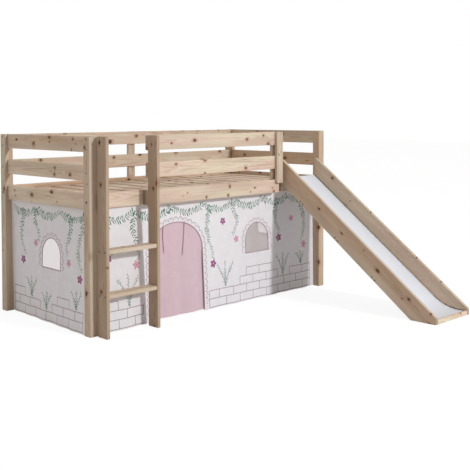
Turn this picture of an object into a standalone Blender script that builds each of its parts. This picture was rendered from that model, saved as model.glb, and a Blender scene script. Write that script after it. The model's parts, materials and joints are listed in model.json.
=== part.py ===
"""Half-height loft bed of pine boards, with a ladder, a slide and a curtained play space.

Every piece is placed from the outer front corner of the left front post, where the empty
bed_corner stands: X runs along the bed to the right, Y from the front to the back, Z up.
The slide and the ladder stand in front of the bed, at negative Y.
"""

import math
from dataclasses import dataclass

import bmesh
import bpy
from mathutils import Vector

BED_NAME = "loft_bed"
CORNER_NAME = "bed_corner"

# Bed frame, in metres
BED_LENGTH = 2.10
BED_WIDTH = 0.97
POST_HEIGHT = 1.14
POST_SIDE = 0.057
BOARD_THICKNESS = 0.022
BOARD_WIDTH = 0.090
BOARD_GAP = 0.074
END_SETBACK = 0.018
UPRIGHT_WIDTH = 0.060
BOARD_LEVELS = ("top", "middle", "lower")

# Clearances and eased edges
SEAT = 0.0003
EASE = 0.003
SLAT_EASE = 0.002
EASE_STEPS = 2
SLAT_EASE_STEPS = 1
CUT_OVERRUN = 0.02

# Mattress base
LEDGE_HEIGHT = 0.0277
LEDGE_DEPTH = 0.025
LEDGE_RISE = 0.018
LEDGE_END_GAP = 0.003
SLAT_COUNT = 14
SLAT_WIDTH = 0.090
SLAT_THICKNESS = 0.018
SLAT_END_MARGIN = 0.0155
SLAT_SIDE_GAP = 0.002

# Guard rail and the uprights that carry it in front of the side rail
GUARD_STANDOFF = 0.026
GUARD_END_INSET = 0.016
SLIDE_POST_DROP = 0.024

# Ladder
LADDER_LEFT = 0.043
LADDER_WIDTH = 0.3945
STILE_DEPTH = 0.085
TREAD_RISE = 0.2505
TREAD_COUNT = 2
TREAD_THICKNESS = 0.023
TREAD_INSET = 0.004

# Slide
SLIDE_REACH = 1.21
SLIDE_WIDTH = 0.390
SLIDE_SIDE_GAP = 0.011
SLIDE_POST_GAP = 0.034
SLIDE_HEAD_RISE = 0.130  # from the side rail's top edge to the head of the slide's rails
SLIDE_RAIL_WIDTH = 0.140
SLIDE_NOSE_HEIGHT = 0.0427
SLIDE_HEAD_FLAT = 0.012
SHEET_LIFT = 0.034
SHEET_THICKNESS = 0.006
SHEET_FOOT_HEIGHT = 0.024
SHEET_BEND_RADIUS = 0.30
SHEET_BEND_STEPS = 10
FOOT_BOARD_HEIGHT = 0.027
BATTEN_WIDTH = 0.045
BATTEN_SHARES = (0.20, 0.52, 0.84)

# Curtains
CLOTH_THICKNESS = 0.003
CLOTH_LEDGE_GAP = 0.003
CLOTH_FLOOR_GAP = 0.003
CLOTH_POST_GAP = 0.0005
CLOTH_ROWS = 6
HEADING_HEIGHT = 0.020
HEM_SWING = 0.055
RIPPLE_DEPTH = 0.0025
FRONT_SWING_SHARES = (0.74, 0.92, 0.66, 0.50, 0.56, 0.66, 0.48, 0.50, 0.36, 0.40, 0.22, 0.28, 0.18)
END_SWING_SHARES = (-0.16, 0.02, 0.04, 0.24, 0.22, 0.48, 0.50, 0.70)

# Door and windows in the curtains, measured from the left edge of their panel
DOOR_CENTRE = 0.6365
DOOR_HALF_WIDTH = 0.2185
DOOR_FOOT_HALF_WIDTH = 0.2215
DOOR_HEAD_DROP = 0.148  # from the panel's top to the crown of the arch
DOOR_ARCH_RISE = 0.176
DOOR_ARCH_STEPS = 16
FLAP_LAP = 0.015
FLAP_FLOOR_GAP = 0.010
FLAP_THICKNESS = 0.002
FRONT_WINDOW_CENTRE = 1.374
FRONT_WINDOW_HALF_WIDTH = 0.114
FRONT_WINDOW_HEAD_DROP = 0.215
FRONT_WINDOW_HEIGHT = 0.197
FRONT_WINDOW_ARCH_RISE = 0.114
END_WINDOW_CENTRE = 0.469
END_WINDOW_HALF_WIDTH = 0.103
END_WINDOW_HEAD_DROP = 0.220
END_WINDOW_HEIGHT = 0.183
END_WINDOW_ARCH_RISE = 0.106
WINDOW_ARCH_STEPS = 12
PANE_LAP = 0.015
PANE_THICKNESS = 0.001
TIE_WIDTH = 0.007
TIE_THICKNESS = 0.0015

# Each tie's top and foot: across in shares of the door's half width, up in shares of its height
TIE_LEFT_SHARES = ((-0.478, 0.985), (-0.465, 0.696))
TIE_RIGHT_SHARES = ((0.327, 1.003), (0.204, 0.647))

# Derived planes and heights
REAR_INNER = BED_WIDTH - POST_SIDE
RIGHT_INNER = BED_LENGTH - POST_SIDE
RAIL_FRONT = POST_SIDE - BOARD_THICKNESS
GUARD_BACK = RAIL_FRONT - GUARD_STANDOFF
GUARD_FRONT = GUARD_BACK - BOARD_THICKNESS
RAIL_TOP = POST_HEIGHT - (len(BOARD_LEVELS) - 1) * (BOARD_WIDTH + BOARD_GAP)
RAIL_BOTTOM = RAIL_TOP - BOARD_WIDTH
LEDGE_BOTTOM = RAIL_BOTTOM + LEDGE_RISE
CLOTH_TOP = LEDGE_BOTTOM - CLOTH_LEDGE_GAP
HEADING_FOOT = CLOTH_TOP - HEADING_HEIGHT
SLIDE_RIGHT = RIGHT_INNER - SLIDE_SIDE_GAP
SLIDE_LEFT = SLIDE_RIGHT - SLIDE_WIDTH
SLIDE_HEAD = RAIL_FRONT - BOARD_THICKNESS
SLIDE_HEAD_HEIGHT = RAIL_TOP + SLIDE_HEAD_RISE
SLIDE_RUN = SLIDE_REACH + SLIDE_HEAD - SLIDE_HEAD_FLAT
SLIDE_SLOPE = math.atan((SLIDE_HEAD_HEIGHT - SLIDE_NOSE_HEIGHT) / SLIDE_RUN)
DOOR_CROWN = CLOTH_TOP - DOOR_HEAD_DROP
FRONT_WINDOW_CROWN = CLOTH_TOP - FRONT_WINDOW_HEAD_DROP
END_WINDOW_CROWN = CLOTH_TOP - END_WINDOW_HEAD_DROP
UPRIGHT_RIGHT = SLIDE_LEFT - SLIDE_POST_GAP
UPRIGHT_LEFT = UPRIGHT_RIGHT - UPRIGHT_WIDTH
GUARD_LEFT = LADDER_LEFT + LADDER_WIDTH - BOARD_THICKNESS
GUARD_RIGHT = UPRIGHT_RIGHT - GUARD_END_INSET


@dataclass(frozen=True)
class Panel:
    """A curtain panel: its width, its folds and the columns that its cloth is divided into."""

    width: float
    columns: int
    ripples: int
    swing_shares: tuple


@dataclass(frozen=True)
class Arch:
    """An opening with upright sides and an arched top, in a panel's own X and Z."""

    centre: float
    half_width: float
    foot_half_width: float
    sill: float
    spring: float
    crown: float
    steps: int

    def widened(self, lap, sill):
        """The same opening, larger by the lap at its sides and top, down to another sill."""
        return Arch(
            self.centre,
            self.half_width + lap,
            self.foot_half_width + lap,
            sill,
            self.spring,
            self.crown + lap,
            self.steps,
        )

    def outline(self):
        """The corners of the opening, and the points of its half ellipse, as (X, Z) pairs."""
        points = [
            (self.centre - self.foot_half_width, self.sill),
            (self.centre + self.foot_half_width, self.sill),
        ]
        for step in range(self.steps + 1):
            turn = math.pi * step / self.steps
            x = self.centre + self.half_width * math.cos(turn)
            z = self.spring + (self.crown - self.spring) * math.sin(turn)
            points.append((x, z))
        return points


FRONT_PANEL = Panel(
    width=RIGHT_INNER - POST_SIDE - 2 * CLOTH_POST_GAP,
    columns=60,
    ripples=11,
    swing_shares=FRONT_SWING_SHARES,
)
END_PANEL = Panel(
    width=REAR_INNER - POST_SIDE - 2 * CLOTH_POST_GAP,
    columns=28,
    ripples=5,
    swing_shares=END_SWING_SHARES,
)
DOORWAY = Arch(
    centre=DOOR_CENTRE,
    half_width=DOOR_HALF_WIDTH,
    foot_half_width=DOOR_FOOT_HALF_WIDTH,
    sill=-CUT_OVERRUN,
    spring=DOOR_CROWN - DOOR_ARCH_RISE,
    crown=DOOR_CROWN,
    steps=DOOR_ARCH_STEPS,
)
FRONT_WINDOW = Arch(
    centre=FRONT_WINDOW_CENTRE,
    half_width=FRONT_WINDOW_HALF_WIDTH,
    foot_half_width=FRONT_WINDOW_HALF_WIDTH,
    sill=FRONT_WINDOW_CROWN - FRONT_WINDOW_HEIGHT,
    spring=FRONT_WINDOW_CROWN - FRONT_WINDOW_ARCH_RISE,
    crown=FRONT_WINDOW_CROWN,
    steps=WINDOW_ARCH_STEPS,
)
END_WINDOW = Arch(
    centre=END_WINDOW_CENTRE,
    half_width=END_WINDOW_HALF_WIDTH,
    foot_half_width=END_WINDOW_HALF_WIDTH,
    sill=END_WINDOW_CROWN - END_WINDOW_HEIGHT,
    spring=END_WINDOW_CROWN - END_WINDOW_ARCH_RISE,
    crown=END_WINDOW_CROWN,
    steps=WINDOW_ARCH_STEPS,
)


def clear_scene():
    """Remove every object that the scene holds."""
    for thing in list(bpy.data.objects):
        bpy.data.objects.remove(thing, do_unlink=True)


def add_collection(name):
    """A collection of this name in the scene."""
    collection = bpy.data.collections.new(name)
    bpy.context.scene.collection.children.link(collection)
    return collection


def make_material(name, colour, roughness):
    """A Principled material of one linear colour, with no metal in it."""
    material = bpy.data.materials.new(name)
    material.use_nodes = True
    material.diffuse_color = (*colour, 1.0)
    shader = material.node_tree.nodes["Principled BSDF"]
    shader.inputs["Base Color"].default_value = (*colour, 1.0)
    shader.inputs["Roughness"].default_value = roughness
    shader.inputs["Metallic"].default_value = 0.0
    return material


def pine():
    """Planed, unvarnished pine."""
    return make_material("pine", (0.68, 0.50, 0.34), 0.55)


def white_laminate():
    """The white faced board of the slide."""
    return make_material("white_laminate", (0.80, 0.82, 0.84), 0.25)


def white_canvas():
    """Off-white cotton canvas."""
    return make_material("white_canvas", (0.76, 0.72, 0.68), 0.85)


def pink_canvas():
    """Pale pink cotton of the door flap."""
    return make_material("pink_canvas", (0.66, 0.44, 0.48), 0.85)


def voile():
    """Sheer white cloth behind the windows."""
    return make_material("voile", (0.85, 0.85, 0.85), 0.80)


def pink_ribbon():
    """Woven ribbon of the two door ties."""
    return make_material("pink_ribbon", (0.60, 0.33, 0.40), 0.60)


def place(name, mesh, location, finish, parent=None):
    """Add a mesh to the bed as a named object.

    Its location is measured from the bed's corner, or from its parent where one is given.
    """
    piece = bpy.data.objects.new(name, mesh)
    piece.location = location
    piece.parent = parent or bpy.data.objects[CORNER_NAME]
    mesh.materials.append(finish)
    bpy.data.collections[BED_NAME].objects.link(piece)
    return piece


def ease_edges(piece, width, steps):
    """Round the piece's edges over by this width."""
    bevel = piece.modifiers.new("eased_edges", "BEVEL")
    bevel.width = width
    bevel.segments = steps
    bevel.limit_method = "ANGLE"
    bevel.angle_limit = math.radians(20)
    bevel.vmesh_method = "CUTOFF"


def block_mesh(name, size):
    """A block of this size about its own centre."""
    mesh = bpy.data.meshes.new(name)
    shape = bmesh.new()
    bmesh.ops.create_cube(shape, size=1.0)
    bmesh.ops.scale(shape, vec=size, verts=shape.verts)
    shape.to_mesh(mesh)
    shape.free()
    return mesh


def board(name, low, high, finish, ease=EASE, steps=EASE_STEPS):
    """A board that fills the space between two opposite corners, with eased edges."""
    low, high = Vector(low), Vector(high)
    piece = place(name, block_mesh(name, high - low), (low + high) / 2, finish)
    ease_edges(piece, ease, steps)
    return piece


def profile_mesh(name, outline, half_depth):
    """The solid that a flat outline makes when it is thickened both ways, as a welded mesh."""
    curve = bpy.data.curves.new(name, "CURVE")
    curve.dimensions = "2D"
    curve.fill_mode = "BOTH"
    curve.extrude = half_depth
    spline = curve.splines.new("POLY")
    spline.points.add(len(outline) - 1)
    for point, (across, up) in zip(spline.points, outline):
        point.co = (across, up, 0, 1)
    spline.use_cyclic_u = True
    drawn = bpy.data.objects.new(name, curve)
    bpy.context.scene.collection.objects.link(drawn)
    graph = bpy.context.evaluated_depsgraph_get()
    mesh = bpy.data.meshes.new_from_object(drawn.evaluated_get(graph))
    bpy.data.objects.remove(drawn, do_unlink=True)
    shape = bmesh.new()
    shape.from_mesh(mesh)
    bmesh.ops.remove_doubles(shape, verts=shape.verts, dist=SEAT / 3)
    bmesh.ops.recalc_face_normals(shape, faces=shape.faces)
    shape.to_mesh(mesh)
    shape.free()
    return mesh


def level_span(level):
    """The heights of the lower and upper edge of the boards at one level."""
    top = POST_HEIGHT - BOARD_LEVELS.index(level) * (BOARD_WIDTH + BOARD_GAP)
    return top - BOARD_WIDTH, top


def build_posts(wood):
    """The four corner posts."""
    for end, x in (("left", 0), ("right", RIGHT_INNER)):
        for side, y in (("front", 0), ("rear", REAR_INNER)):
            corner = (x + POST_SIDE, y + POST_SIDE, POST_HEIGHT)
            board(f"post_{end}_{side}", (x, y, 0), corner, wood)


def build_end_boards(wood):
    """Three boards between the posts at each end, set back from the posts' outer faces."""
    right = BED_LENGTH - END_SETBACK - BOARD_THICKNESS
    for end, x in (("left", END_SETBACK), ("right", right)):
        for level in BOARD_LEVELS:
            bottom, top = level_span(level)
            low = (x, POST_SIDE + SEAT, bottom)
            high = (x + BOARD_THICKNESS, REAR_INNER - SEAT, top)
            board(f"{end}_board_{level}", low, high, wood)


def build_rear_side(wood):
    """Three boards between the rear posts, and the upright behind their middle."""
    back = REAR_INNER + BOARD_THICKNESS
    for level in BOARD_LEVELS:
        bottom, top = level_span(level)
        low = (POST_SIDE + SEAT, REAR_INNER, bottom)
        high = (RIGHT_INNER - SEAT, back, top)
        board(f"rear_board_{level}", low, high, wood)
    left = (BED_LENGTH - UPRIGHT_WIDTH) / 2
    low = (left, back + SEAT, RAIL_BOTTOM)
    high = (left + UPRIGHT_WIDTH, back + BOARD_THICKNESS, POST_HEIGHT)
    board("rear_upright", low, high, wood)


def build_side_rail(wood):
    """The front side rail, flush with the posts' inner faces."""
    bottom, top = level_span("lower")
    low = (POST_SIDE + SEAT, RAIL_FRONT, bottom)
    high = (RIGHT_INNER - SEAT, POST_SIDE, top)
    board("front_side_rail", low, high, wood)


def build_guard(wood):
    """Three guard boards in front of the side rail, and the two uprights at their right end."""
    for level in BOARD_LEVELS:
        bottom, top = level_span(level)
        low = (GUARD_LEFT, GUARD_FRONT, bottom)
        high = (GUARD_RIGHT, GUARD_BACK, top)
        board(f"guard_board_{level}", low, high, wood)
    low = (UPRIGHT_LEFT, GUARD_BACK + SEAT, RAIL_BOTTOM)
    high = (UPRIGHT_RIGHT, RAIL_FRONT - SEAT, POST_HEIGHT)
    board("guard_upright", low, high, wood)
    foot = RAIL_TOP - SLIDE_POST_DROP
    low = (UPRIGHT_LEFT, GUARD_FRONT - BOARD_THICKNESS, foot)
    high = (UPRIGHT_RIGHT, GUARD_FRONT - SEAT, POST_HEIGHT)
    board("slide_post", low, high, wood)


def build_ladder(wood):
    """Two stiles in front of the bed, two treads between them, and the blocks behind them."""
    back = GUARD_FRONT - SEAT
    front = back - STILE_DEPTH
    inner_left = LADDER_LEFT + BOARD_THICKNESS
    for side, x in (("left", LADDER_LEFT), ("right", GUARD_LEFT)):
        high = (x + BOARD_THICKNESS, back, POST_HEIGHT)
        board(f"ladder_stile_{side}", (x, front, 0), high, wood)
    for number in range(1, TREAD_COUNT + 1):
        top = number * TREAD_RISE
        low = (inner_left + SEAT, front + TREAD_INSET, top - TREAD_THICKNESS)
        high = (GUARD_LEFT - SEAT, back - TREAD_INSET, top)
        board(f"ladder_tread_{number}", low, high, wood)
    bottom, top = level_span("lower")
    left_block = POST_SIDE + SEAT
    low = (left_block, GUARD_FRONT, bottom)
    high = (left_block + UPRIGHT_WIDTH, RAIL_FRONT - SEAT, top)
    board("ladder_block_left", low, high, wood)
    low = (GUARD_LEFT, GUARD_BACK + SEAT, bottom)
    high = (GUARD_LEFT + UPRIGHT_WIDTH, RAIL_FRONT - SEAT, top)
    board("ladder_block_right", low, high, wood)


def build_mattress_base(wood):
    """A ledge along each side, and the slats across them."""
    left = POST_SIDE + LEDGE_END_GAP
    right = RIGHT_INNER - LEDGE_END_GAP
    ledge_top = LEDGE_BOTTOM + LEDGE_HEIGHT
    near = POST_SIDE + SEAT
    far = REAR_INNER - SEAT
    for side, low_y, high_y in (("front", near, near + LEDGE_DEPTH), ("rear", far - LEDGE_DEPTH, far)):
        low = (left, low_y, LEDGE_BOTTOM)
        board(f"slat_ledge_{side}", low, (right, high_y, ledge_top), wood)
    first = left + SLAT_END_MARGIN
    pitch = (right - SLAT_END_MARGIN - SLAT_WIDTH - first) / (SLAT_COUNT - 1)
    bottom = ledge_top + SEAT
    for number in range(SLAT_COUNT):
        x = first + number * pitch
        low = (x, POST_SIDE + SLAT_SIDE_GAP, bottom)
        high = (x + SLAT_WIDTH, REAR_INNER - SLAT_SIDE_GAP, bottom + SLAT_THICKNESS)
        board(f"slat_{number + 1:02d}", low, high, wood, SLAT_EASE, SLAT_EASE_STEPS)


def rail_base_height(y):
    """The height of the slide rails' lower edge at a place in front of the posts."""
    drop = SLIDE_RAIL_WIDTH / math.cos(SLIDE_SLOPE)
    return SLIDE_NOSE_HEIGHT - drop + (y + SLIDE_REACH) * math.tan(SLIDE_SLOPE)


def rail_outline():
    """A slide rail seen from the side, with its level head and its two cuts at the foot."""
    drop = SLIDE_RAIL_WIDTH / math.cos(SLIDE_SLOPE)
    toe = (drop - SLIDE_NOSE_HEIGHT) / math.tan(SLIDE_SLOPE) - SLIDE_REACH
    return [
        (toe, 0),
        (SLIDE_HEAD, rail_base_height(SLIDE_HEAD)),
        (SLIDE_HEAD, SLIDE_HEAD_HEIGHT),
        (SLIDE_HEAD - SLIDE_HEAD_FLAT, SLIDE_HEAD_HEIGHT),
        (-SLIDE_REACH, SLIDE_NOSE_HEIGHT),
        (-SLIDE_REACH, 0),
    ]


def bend_points(centre_y, centre_z, radius):
    """Points of the sheet's foot bend, from its level end up to the slope."""
    points = []
    for step in range(SHEET_BEND_STEPS + 1):
        turn = SLIDE_SLOPE * step / SHEET_BEND_STEPS
        points.append((centre_y + radius * math.sin(turn), centre_z - radius * math.cos(turn)))
    return points


def sheet_outline():
    """The sliding sheet seen from the side: a slope that bends out level at the foot."""
    lift = SHEET_LIFT / math.cos(SLIDE_SLOPE)
    centre_z = SHEET_FOOT_HEIGHT + SHEET_BEND_RADIUS
    tangent_z = centre_z - SHEET_BEND_RADIUS * math.cos(SLIDE_SLOPE)
    run = (tangent_z - lift - rail_base_height(0)) / math.tan(SLIDE_SLOPE)
    centre_y = run - SHEET_BEND_RADIUS * math.sin(SLIDE_SLOPE)
    end = -SLIDE_REACH + BOARD_THICKNESS + SEAT
    under = SHEET_THICKNESS / math.cos(SLIDE_SLOPE)
    top_edge = rail_base_height(SLIDE_HEAD) + lift
    upper = [(end, SHEET_FOOT_HEIGHT)]
    upper += bend_points(centre_y, centre_z, SHEET_BEND_RADIUS)
    upper.append((SLIDE_HEAD, top_edge))
    lower = [(end, SHEET_FOOT_HEIGHT - SHEET_THICKNESS)]
    lower += bend_points(centre_y, centre_z, SHEET_BEND_RADIUS + SHEET_THICKNESS)
    lower.append((SLIDE_HEAD, top_edge - under))
    return lower + upper[::-1]


def upright_profile(name, outline, left, right, finish):
    """A solid with this side outline, (Y, Z) pairs, that fills the bed from left to right."""
    mesh = profile_mesh(name, outline, (right - left) / 2)
    piece = place(name, mesh, ((left + right) / 2, 0, 0), finish)
    piece.rotation_euler = (math.pi / 2, 0, math.pi / 2)
    return piece


def build_slide(wood, laminate):
    """Two sloping rails with the sheet between them, and the boards at the head and foot."""
    rail_lefts = (("left", SLIDE_LEFT), ("right", SLIDE_RIGHT - BOARD_THICKNESS))
    for side, x in rail_lefts:
        rail = upright_profile(f"slide_rail_{side}", rail_outline(), x, x + BOARD_THICKNESS, wood)
        ease_edges(rail, EASE, EASE_STEPS)
    left = SLIDE_LEFT + BOARD_THICKNESS + SEAT
    right = SLIDE_RIGHT - BOARD_THICKNESS - SEAT
    sheet = upright_profile("slide_sheet", sheet_outline(), left, right, laminate)
    sheet.data.shade_smooth()
    sheet.data.set_sharp_from_angle(angle=math.radians(30))
    foot_back = -SLIDE_REACH + BOARD_THICKNESS
    board("slide_foot_board", (left, -SLIDE_REACH, 0), (right, foot_back, FOOT_BOARD_HEIGHT), wood)
    bottom, top = level_span("lower")
    low = (SLIDE_LEFT, SLIDE_HEAD + SEAT, bottom)
    board("slide_head_board", low, (SLIDE_RIGHT, RAIL_FRONT - SEAT, top), wood)
    build_battens(left, right, wood)


def build_battens(left, right, wood):
    """Three battens under the sheet, square to the slope and flush with the rails' lower edge."""
    thickness = SHEET_LIFT - SHEET_THICKNESS - SEAT
    for number, share in enumerate(BATTEN_SHARES, 1):
        y = SLIDE_HEAD - share * (SLIDE_HEAD + SLIDE_REACH - SHEET_BEND_RADIUS)
        size = (right - left, BATTEN_WIDTH, thickness)
        lift = thickness / 2 / math.cos(SLIDE_SLOPE)
        centre = ((left + right) / 2, y, rail_base_height(y) + lift)
        name = f"slide_batten_{number}"
        batten = place(name, block_mesh(name, size), centre, wood)
        batten.rotation_euler = (SLIDE_SLOPE, 0, 0)
        ease_edges(batten, SLAT_EASE, SLAT_EASE_STEPS)


def swing_share(shares, along):
    """The hem's forward stand at a share of the way along, eased between the listed places."""
    position = along * (len(shares) - 1)
    left = min(int(position), len(shares) - 2)
    blend = (1 - math.cos(math.pi * (position - left))) / 2
    return shares[left] * (1 - blend) + shares[left + 1] * blend


def forward_stand(panel, x, z):
    """How far a panel's cloth stands forward of its heading at a point of the panel."""
    along = x / panel.width
    drop = max(0.0, (HEADING_FOOT - z) / HEADING_FOOT)
    ripple = RIPPLE_DEPTH * math.sin(2 * math.pi * panel.ripples * along)
    return drop * (HEM_SWING * swing_share(panel.swing_shares, along) + ripple)


def row_height(row):
    """The height of one row of the cloth's grid: one over the heading, the others evenly below."""
    if row == CLOTH_ROWS:
        return CLOTH_TOP
    return CLOTH_FLOOR_GAP + (HEADING_FOOT - CLOTH_FLOOR_GAP) * row / (CLOTH_ROWS - 1)


def cloth_mesh(name, panel, setback, thickness, origin):
    """A slab over a whole panel that hangs in the panel's folds.

    Its face lies the setback behind the panel's own face, and its points are measured from
    the origin.
    """
    mesh = bpy.data.meshes.new(name)
    shape = bmesh.new()
    bmesh.ops.create_grid(shape, x_segments=panel.columns, y_segments=CLOTH_ROWS, size=0.5)
    for point in shape.verts:
        x = (point.co.x + 0.5) * panel.width
        row = round((point.co.y + 0.5) * CLOTH_ROWS)
        point.co = (x, 0, row_height(row))
    bmesh.ops.triangulate(shape, faces=shape.faces)
    shape.normal_update()
    bmesh.ops.solidify(shape, geom=shape.faces[:], thickness=thickness)
    for point in shape.verts:
        point.co.y += setback - forward_stand(panel, point.co.x, point.co.z)
        point.co -= origin
    bmesh.ops.recalc_face_normals(shape, faces=shape.faces)
    shape.to_mesh(mesh)
    shape.free()
    return mesh


def add_cutter(name, outline, parent):
    """A prism through the cloth with this outline, (X, Z) pairs of the parent's own frame."""
    reach = HEM_SWING + CUT_OVERRUN
    cutter = bpy.data.objects.new(name, profile_mesh(name, outline, reach))
    cutter.rotation_euler = (math.pi / 2, 0, 0)
    cutter.parent = parent
    cutter.hide_render = True
    cutter.display_type = "WIRE"
    bpy.data.collections["cutters"].objects.link(cutter)
    return cutter


def trim(piece, cutter, operation):
    """Cut the cutter out of the piece, or keep only what lies inside it."""
    boolean = piece.modifiers.new(cutter.name, "BOOLEAN")
    boolean.operation = operation
    boolean.object = cutter
    boolean.solver = "EXACT"


def hang_behind(name, panel, curtain, outline, setback, thickness, origin, finish):
    """A piece of cloth of this outline that follows a curtain's folds, parented to it."""
    mesh = cloth_mesh(name, panel, setback, thickness, Vector(origin))
    piece = place(name, mesh, origin, finish, curtain)
    trim(piece, add_cutter(f"{name}_shape", outline, curtain), "INTERSECT")
    return piece


def add_window(name, panel, curtain, window, finish):
    """Cut a window in a curtain and hang its sheer pane behind it."""
    trim(curtain, add_cutter(f"{name}_hole", window.outline(), curtain), "DIFFERENCE")
    pane = window.widened(PANE_LAP, window.sill - PANE_LAP)
    setback = CLOTH_THICKNESS + SEAT
    hang_behind(name, panel, curtain, pane.outline(), setback, PANE_THICKNESS, (0, 0, 0), finish)


def build_front_curtain(canvas, door_cloth, sheer, ribbon):
    """The front panel with its doorway, door flap, ties and window."""
    mesh = cloth_mesh("front_curtain", FRONT_PANEL, 0, CLOTH_THICKNESS, Vector())
    location = (POST_SIDE + CLOTH_POST_GAP, POST_SIDE + SEAT, 0)
    curtain = place("front_curtain", mesh, location, canvas)
    trim(curtain, add_cutter("doorway_hole", DOORWAY.outline(), curtain), "DIFFERENCE")
    add_window("front_window_pane", FRONT_PANEL, curtain, FRONT_WINDOW, sheer)
    build_door_flap(curtain, door_cloth)
    build_door_ties(curtain, ribbon)


def build_door_flap(curtain, door_cloth):
    """The door flap, whose origin lies on its hinge line at the top of its lining side."""
    flap = DOORWAY.widened(FLAP_LAP, FLAP_FLOOR_GAP)
    setback = CLOTH_THICKNESS + SEAT
    stands = [forward_stand(FRONT_PANEL, x, flap.crown) for x, _ in flap.outline()]
    hinge = (flap.centre, setback + FLAP_THICKNESS - min(stands), flap.crown)
    hang_behind(
        "door_flap", FRONT_PANEL, curtain, flap.outline(), setback, FLAP_THICKNESS, hinge, door_cloth
    )


def build_door_ties(curtain, ribbon):
    """Two ribbons that hang in front of the door from the rim of its arch."""
    half = TIE_WIDTH / 2
    setback = -TIE_THICKNESS - SEAT
    for side, (top, foot) in (("left", TIE_LEFT_SHARES), ("right", TIE_RIGHT_SHARES)):
        top_x, foot_x = (DOOR_CENTRE + end[0] * DOOR_HALF_WIDTH for end in (top, foot))
        top_z, foot_z = (end[1] * DOOR_CROWN for end in (top, foot))
        outline = [
            (foot_x - half, foot_z),
            (foot_x + half, foot_z),
            (top_x + half, top_z),
            (top_x - half, top_z),
        ]
        name = f"door_tie_{side}"
        hang_behind(name, FRONT_PANEL, curtain, outline, setback, TIE_THICKNESS, (0, 0, 0), ribbon)


def build_end_curtain(end, location, turn, canvas, sheer):
    """An end panel with its window, turned so that its face looks out of the bed."""
    name = f"{end}_curtain"
    mesh = cloth_mesh(name, END_PANEL, 0, CLOTH_THICKNESS, Vector())
    curtain = place(name, mesh, location, canvas)
    curtain.rotation_euler = (0, 0, turn)
    add_window(f"{end}_window_pane", END_PANEL, curtain, END_WINDOW, sheer)


def build_end_curtains(canvas, sheer):
    """The same end panel at the left end and, turned round, at the right end."""
    inset = END_SETBACK + BOARD_THICKNESS + SEAT
    left = (inset, REAR_INNER - CLOTH_POST_GAP, 0)
    right = (BED_LENGTH - inset, POST_SIDE + CLOTH_POST_GAP, 0)
    build_end_curtain("left", left, -math.pi / 2, canvas, sheer)
    build_end_curtain("right", right, math.pi / 2, canvas, sheer)


def main():
    """Build the whole bed, standing on the floor about the middle of its outline."""
    clear_scene()
    add_collection(BED_NAME)
    add_collection("cutters")
    corner = bpy.data.objects.new(CORNER_NAME, None)
    corner.location = (-BED_LENGTH / 2, SLIDE_REACH - (BED_WIDTH + SLIDE_REACH) / 2, 0)
    bpy.data.collections[BED_NAME].objects.link(corner)
    wood, canvas, sheer = pine(), white_canvas(), voile()
    build_posts(wood)
    build_end_boards(wood)
    build_rear_side(wood)
    build_side_rail(wood)
    build_guard(wood)
    build_ladder(wood)
    build_mattress_base(wood)
    build_slide(wood, white_laminate())
    build_front_curtain(canvas, pink_canvas(), sheer, pink_ribbon())
    build_end_curtains(canvas, sheer)


if __name__ == "__main__":
    main()
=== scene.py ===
"""Loft bed with slide, dressed for the render.

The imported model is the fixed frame: its boards, posts and rails stay and get their pine figure,
and the cloth pieces are cut, hung and hemmed here in place of their plain solids.

Frame: X runs from the ladder end to the slide end, Y from the slide's foot to the rear, Z up.
A panel of cloth has its own flat coordinates: across from its left edge, and up from the floor.
Lengths are in metres, and a figure of a material that repeats is counted per metre.
"""

import json
import logging
import math
from collections.abc import Iterable, Sequence
from dataclasses import dataclass, field
from enum import Enum

import bpy
import numpy as np
from mathutils import Matrix, Vector, noise
from mathutils.geometry import delaunay_2d_cdt


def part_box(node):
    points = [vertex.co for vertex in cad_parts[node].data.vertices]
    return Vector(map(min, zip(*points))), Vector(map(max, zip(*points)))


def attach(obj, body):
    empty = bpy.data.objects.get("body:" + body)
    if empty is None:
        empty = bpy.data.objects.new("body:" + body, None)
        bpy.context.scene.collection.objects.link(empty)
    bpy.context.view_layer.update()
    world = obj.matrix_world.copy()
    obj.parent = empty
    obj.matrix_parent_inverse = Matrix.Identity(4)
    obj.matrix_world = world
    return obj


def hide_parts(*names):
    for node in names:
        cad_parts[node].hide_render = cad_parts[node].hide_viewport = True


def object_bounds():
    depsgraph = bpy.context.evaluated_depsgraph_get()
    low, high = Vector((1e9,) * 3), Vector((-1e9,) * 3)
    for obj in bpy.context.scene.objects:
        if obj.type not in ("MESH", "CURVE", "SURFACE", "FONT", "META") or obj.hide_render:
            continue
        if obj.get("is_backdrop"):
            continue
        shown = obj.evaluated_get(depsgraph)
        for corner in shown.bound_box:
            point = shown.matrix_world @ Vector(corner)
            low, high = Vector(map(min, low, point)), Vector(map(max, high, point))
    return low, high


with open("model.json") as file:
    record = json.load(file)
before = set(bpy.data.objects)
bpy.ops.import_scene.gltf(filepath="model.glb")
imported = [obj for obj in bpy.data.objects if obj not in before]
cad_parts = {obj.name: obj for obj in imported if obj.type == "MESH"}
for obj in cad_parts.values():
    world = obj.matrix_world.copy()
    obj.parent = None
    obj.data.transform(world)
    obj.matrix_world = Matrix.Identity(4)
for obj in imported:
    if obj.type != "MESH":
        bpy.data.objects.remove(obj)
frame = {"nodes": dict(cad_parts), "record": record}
CAD_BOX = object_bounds()

LOG = logging.getLogger("loft_bed")
MM = 0.001
BED = "bed"
DOOR = "door"
WHITE = (1.0, 1.0, 1.0, 1.0)

Point2 = tuple[float, float]
Point3 = tuple[float, float, float]
Spot = tuple[Point3, Point3]
Numbers = float | Sequence[float] | np.ndarray
Material = bpy.types.Material
Piece = bpy.types.Object
Socket = bpy.types.NodeSocket
Sockets = bpy.types.bpy_prop_collection

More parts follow.
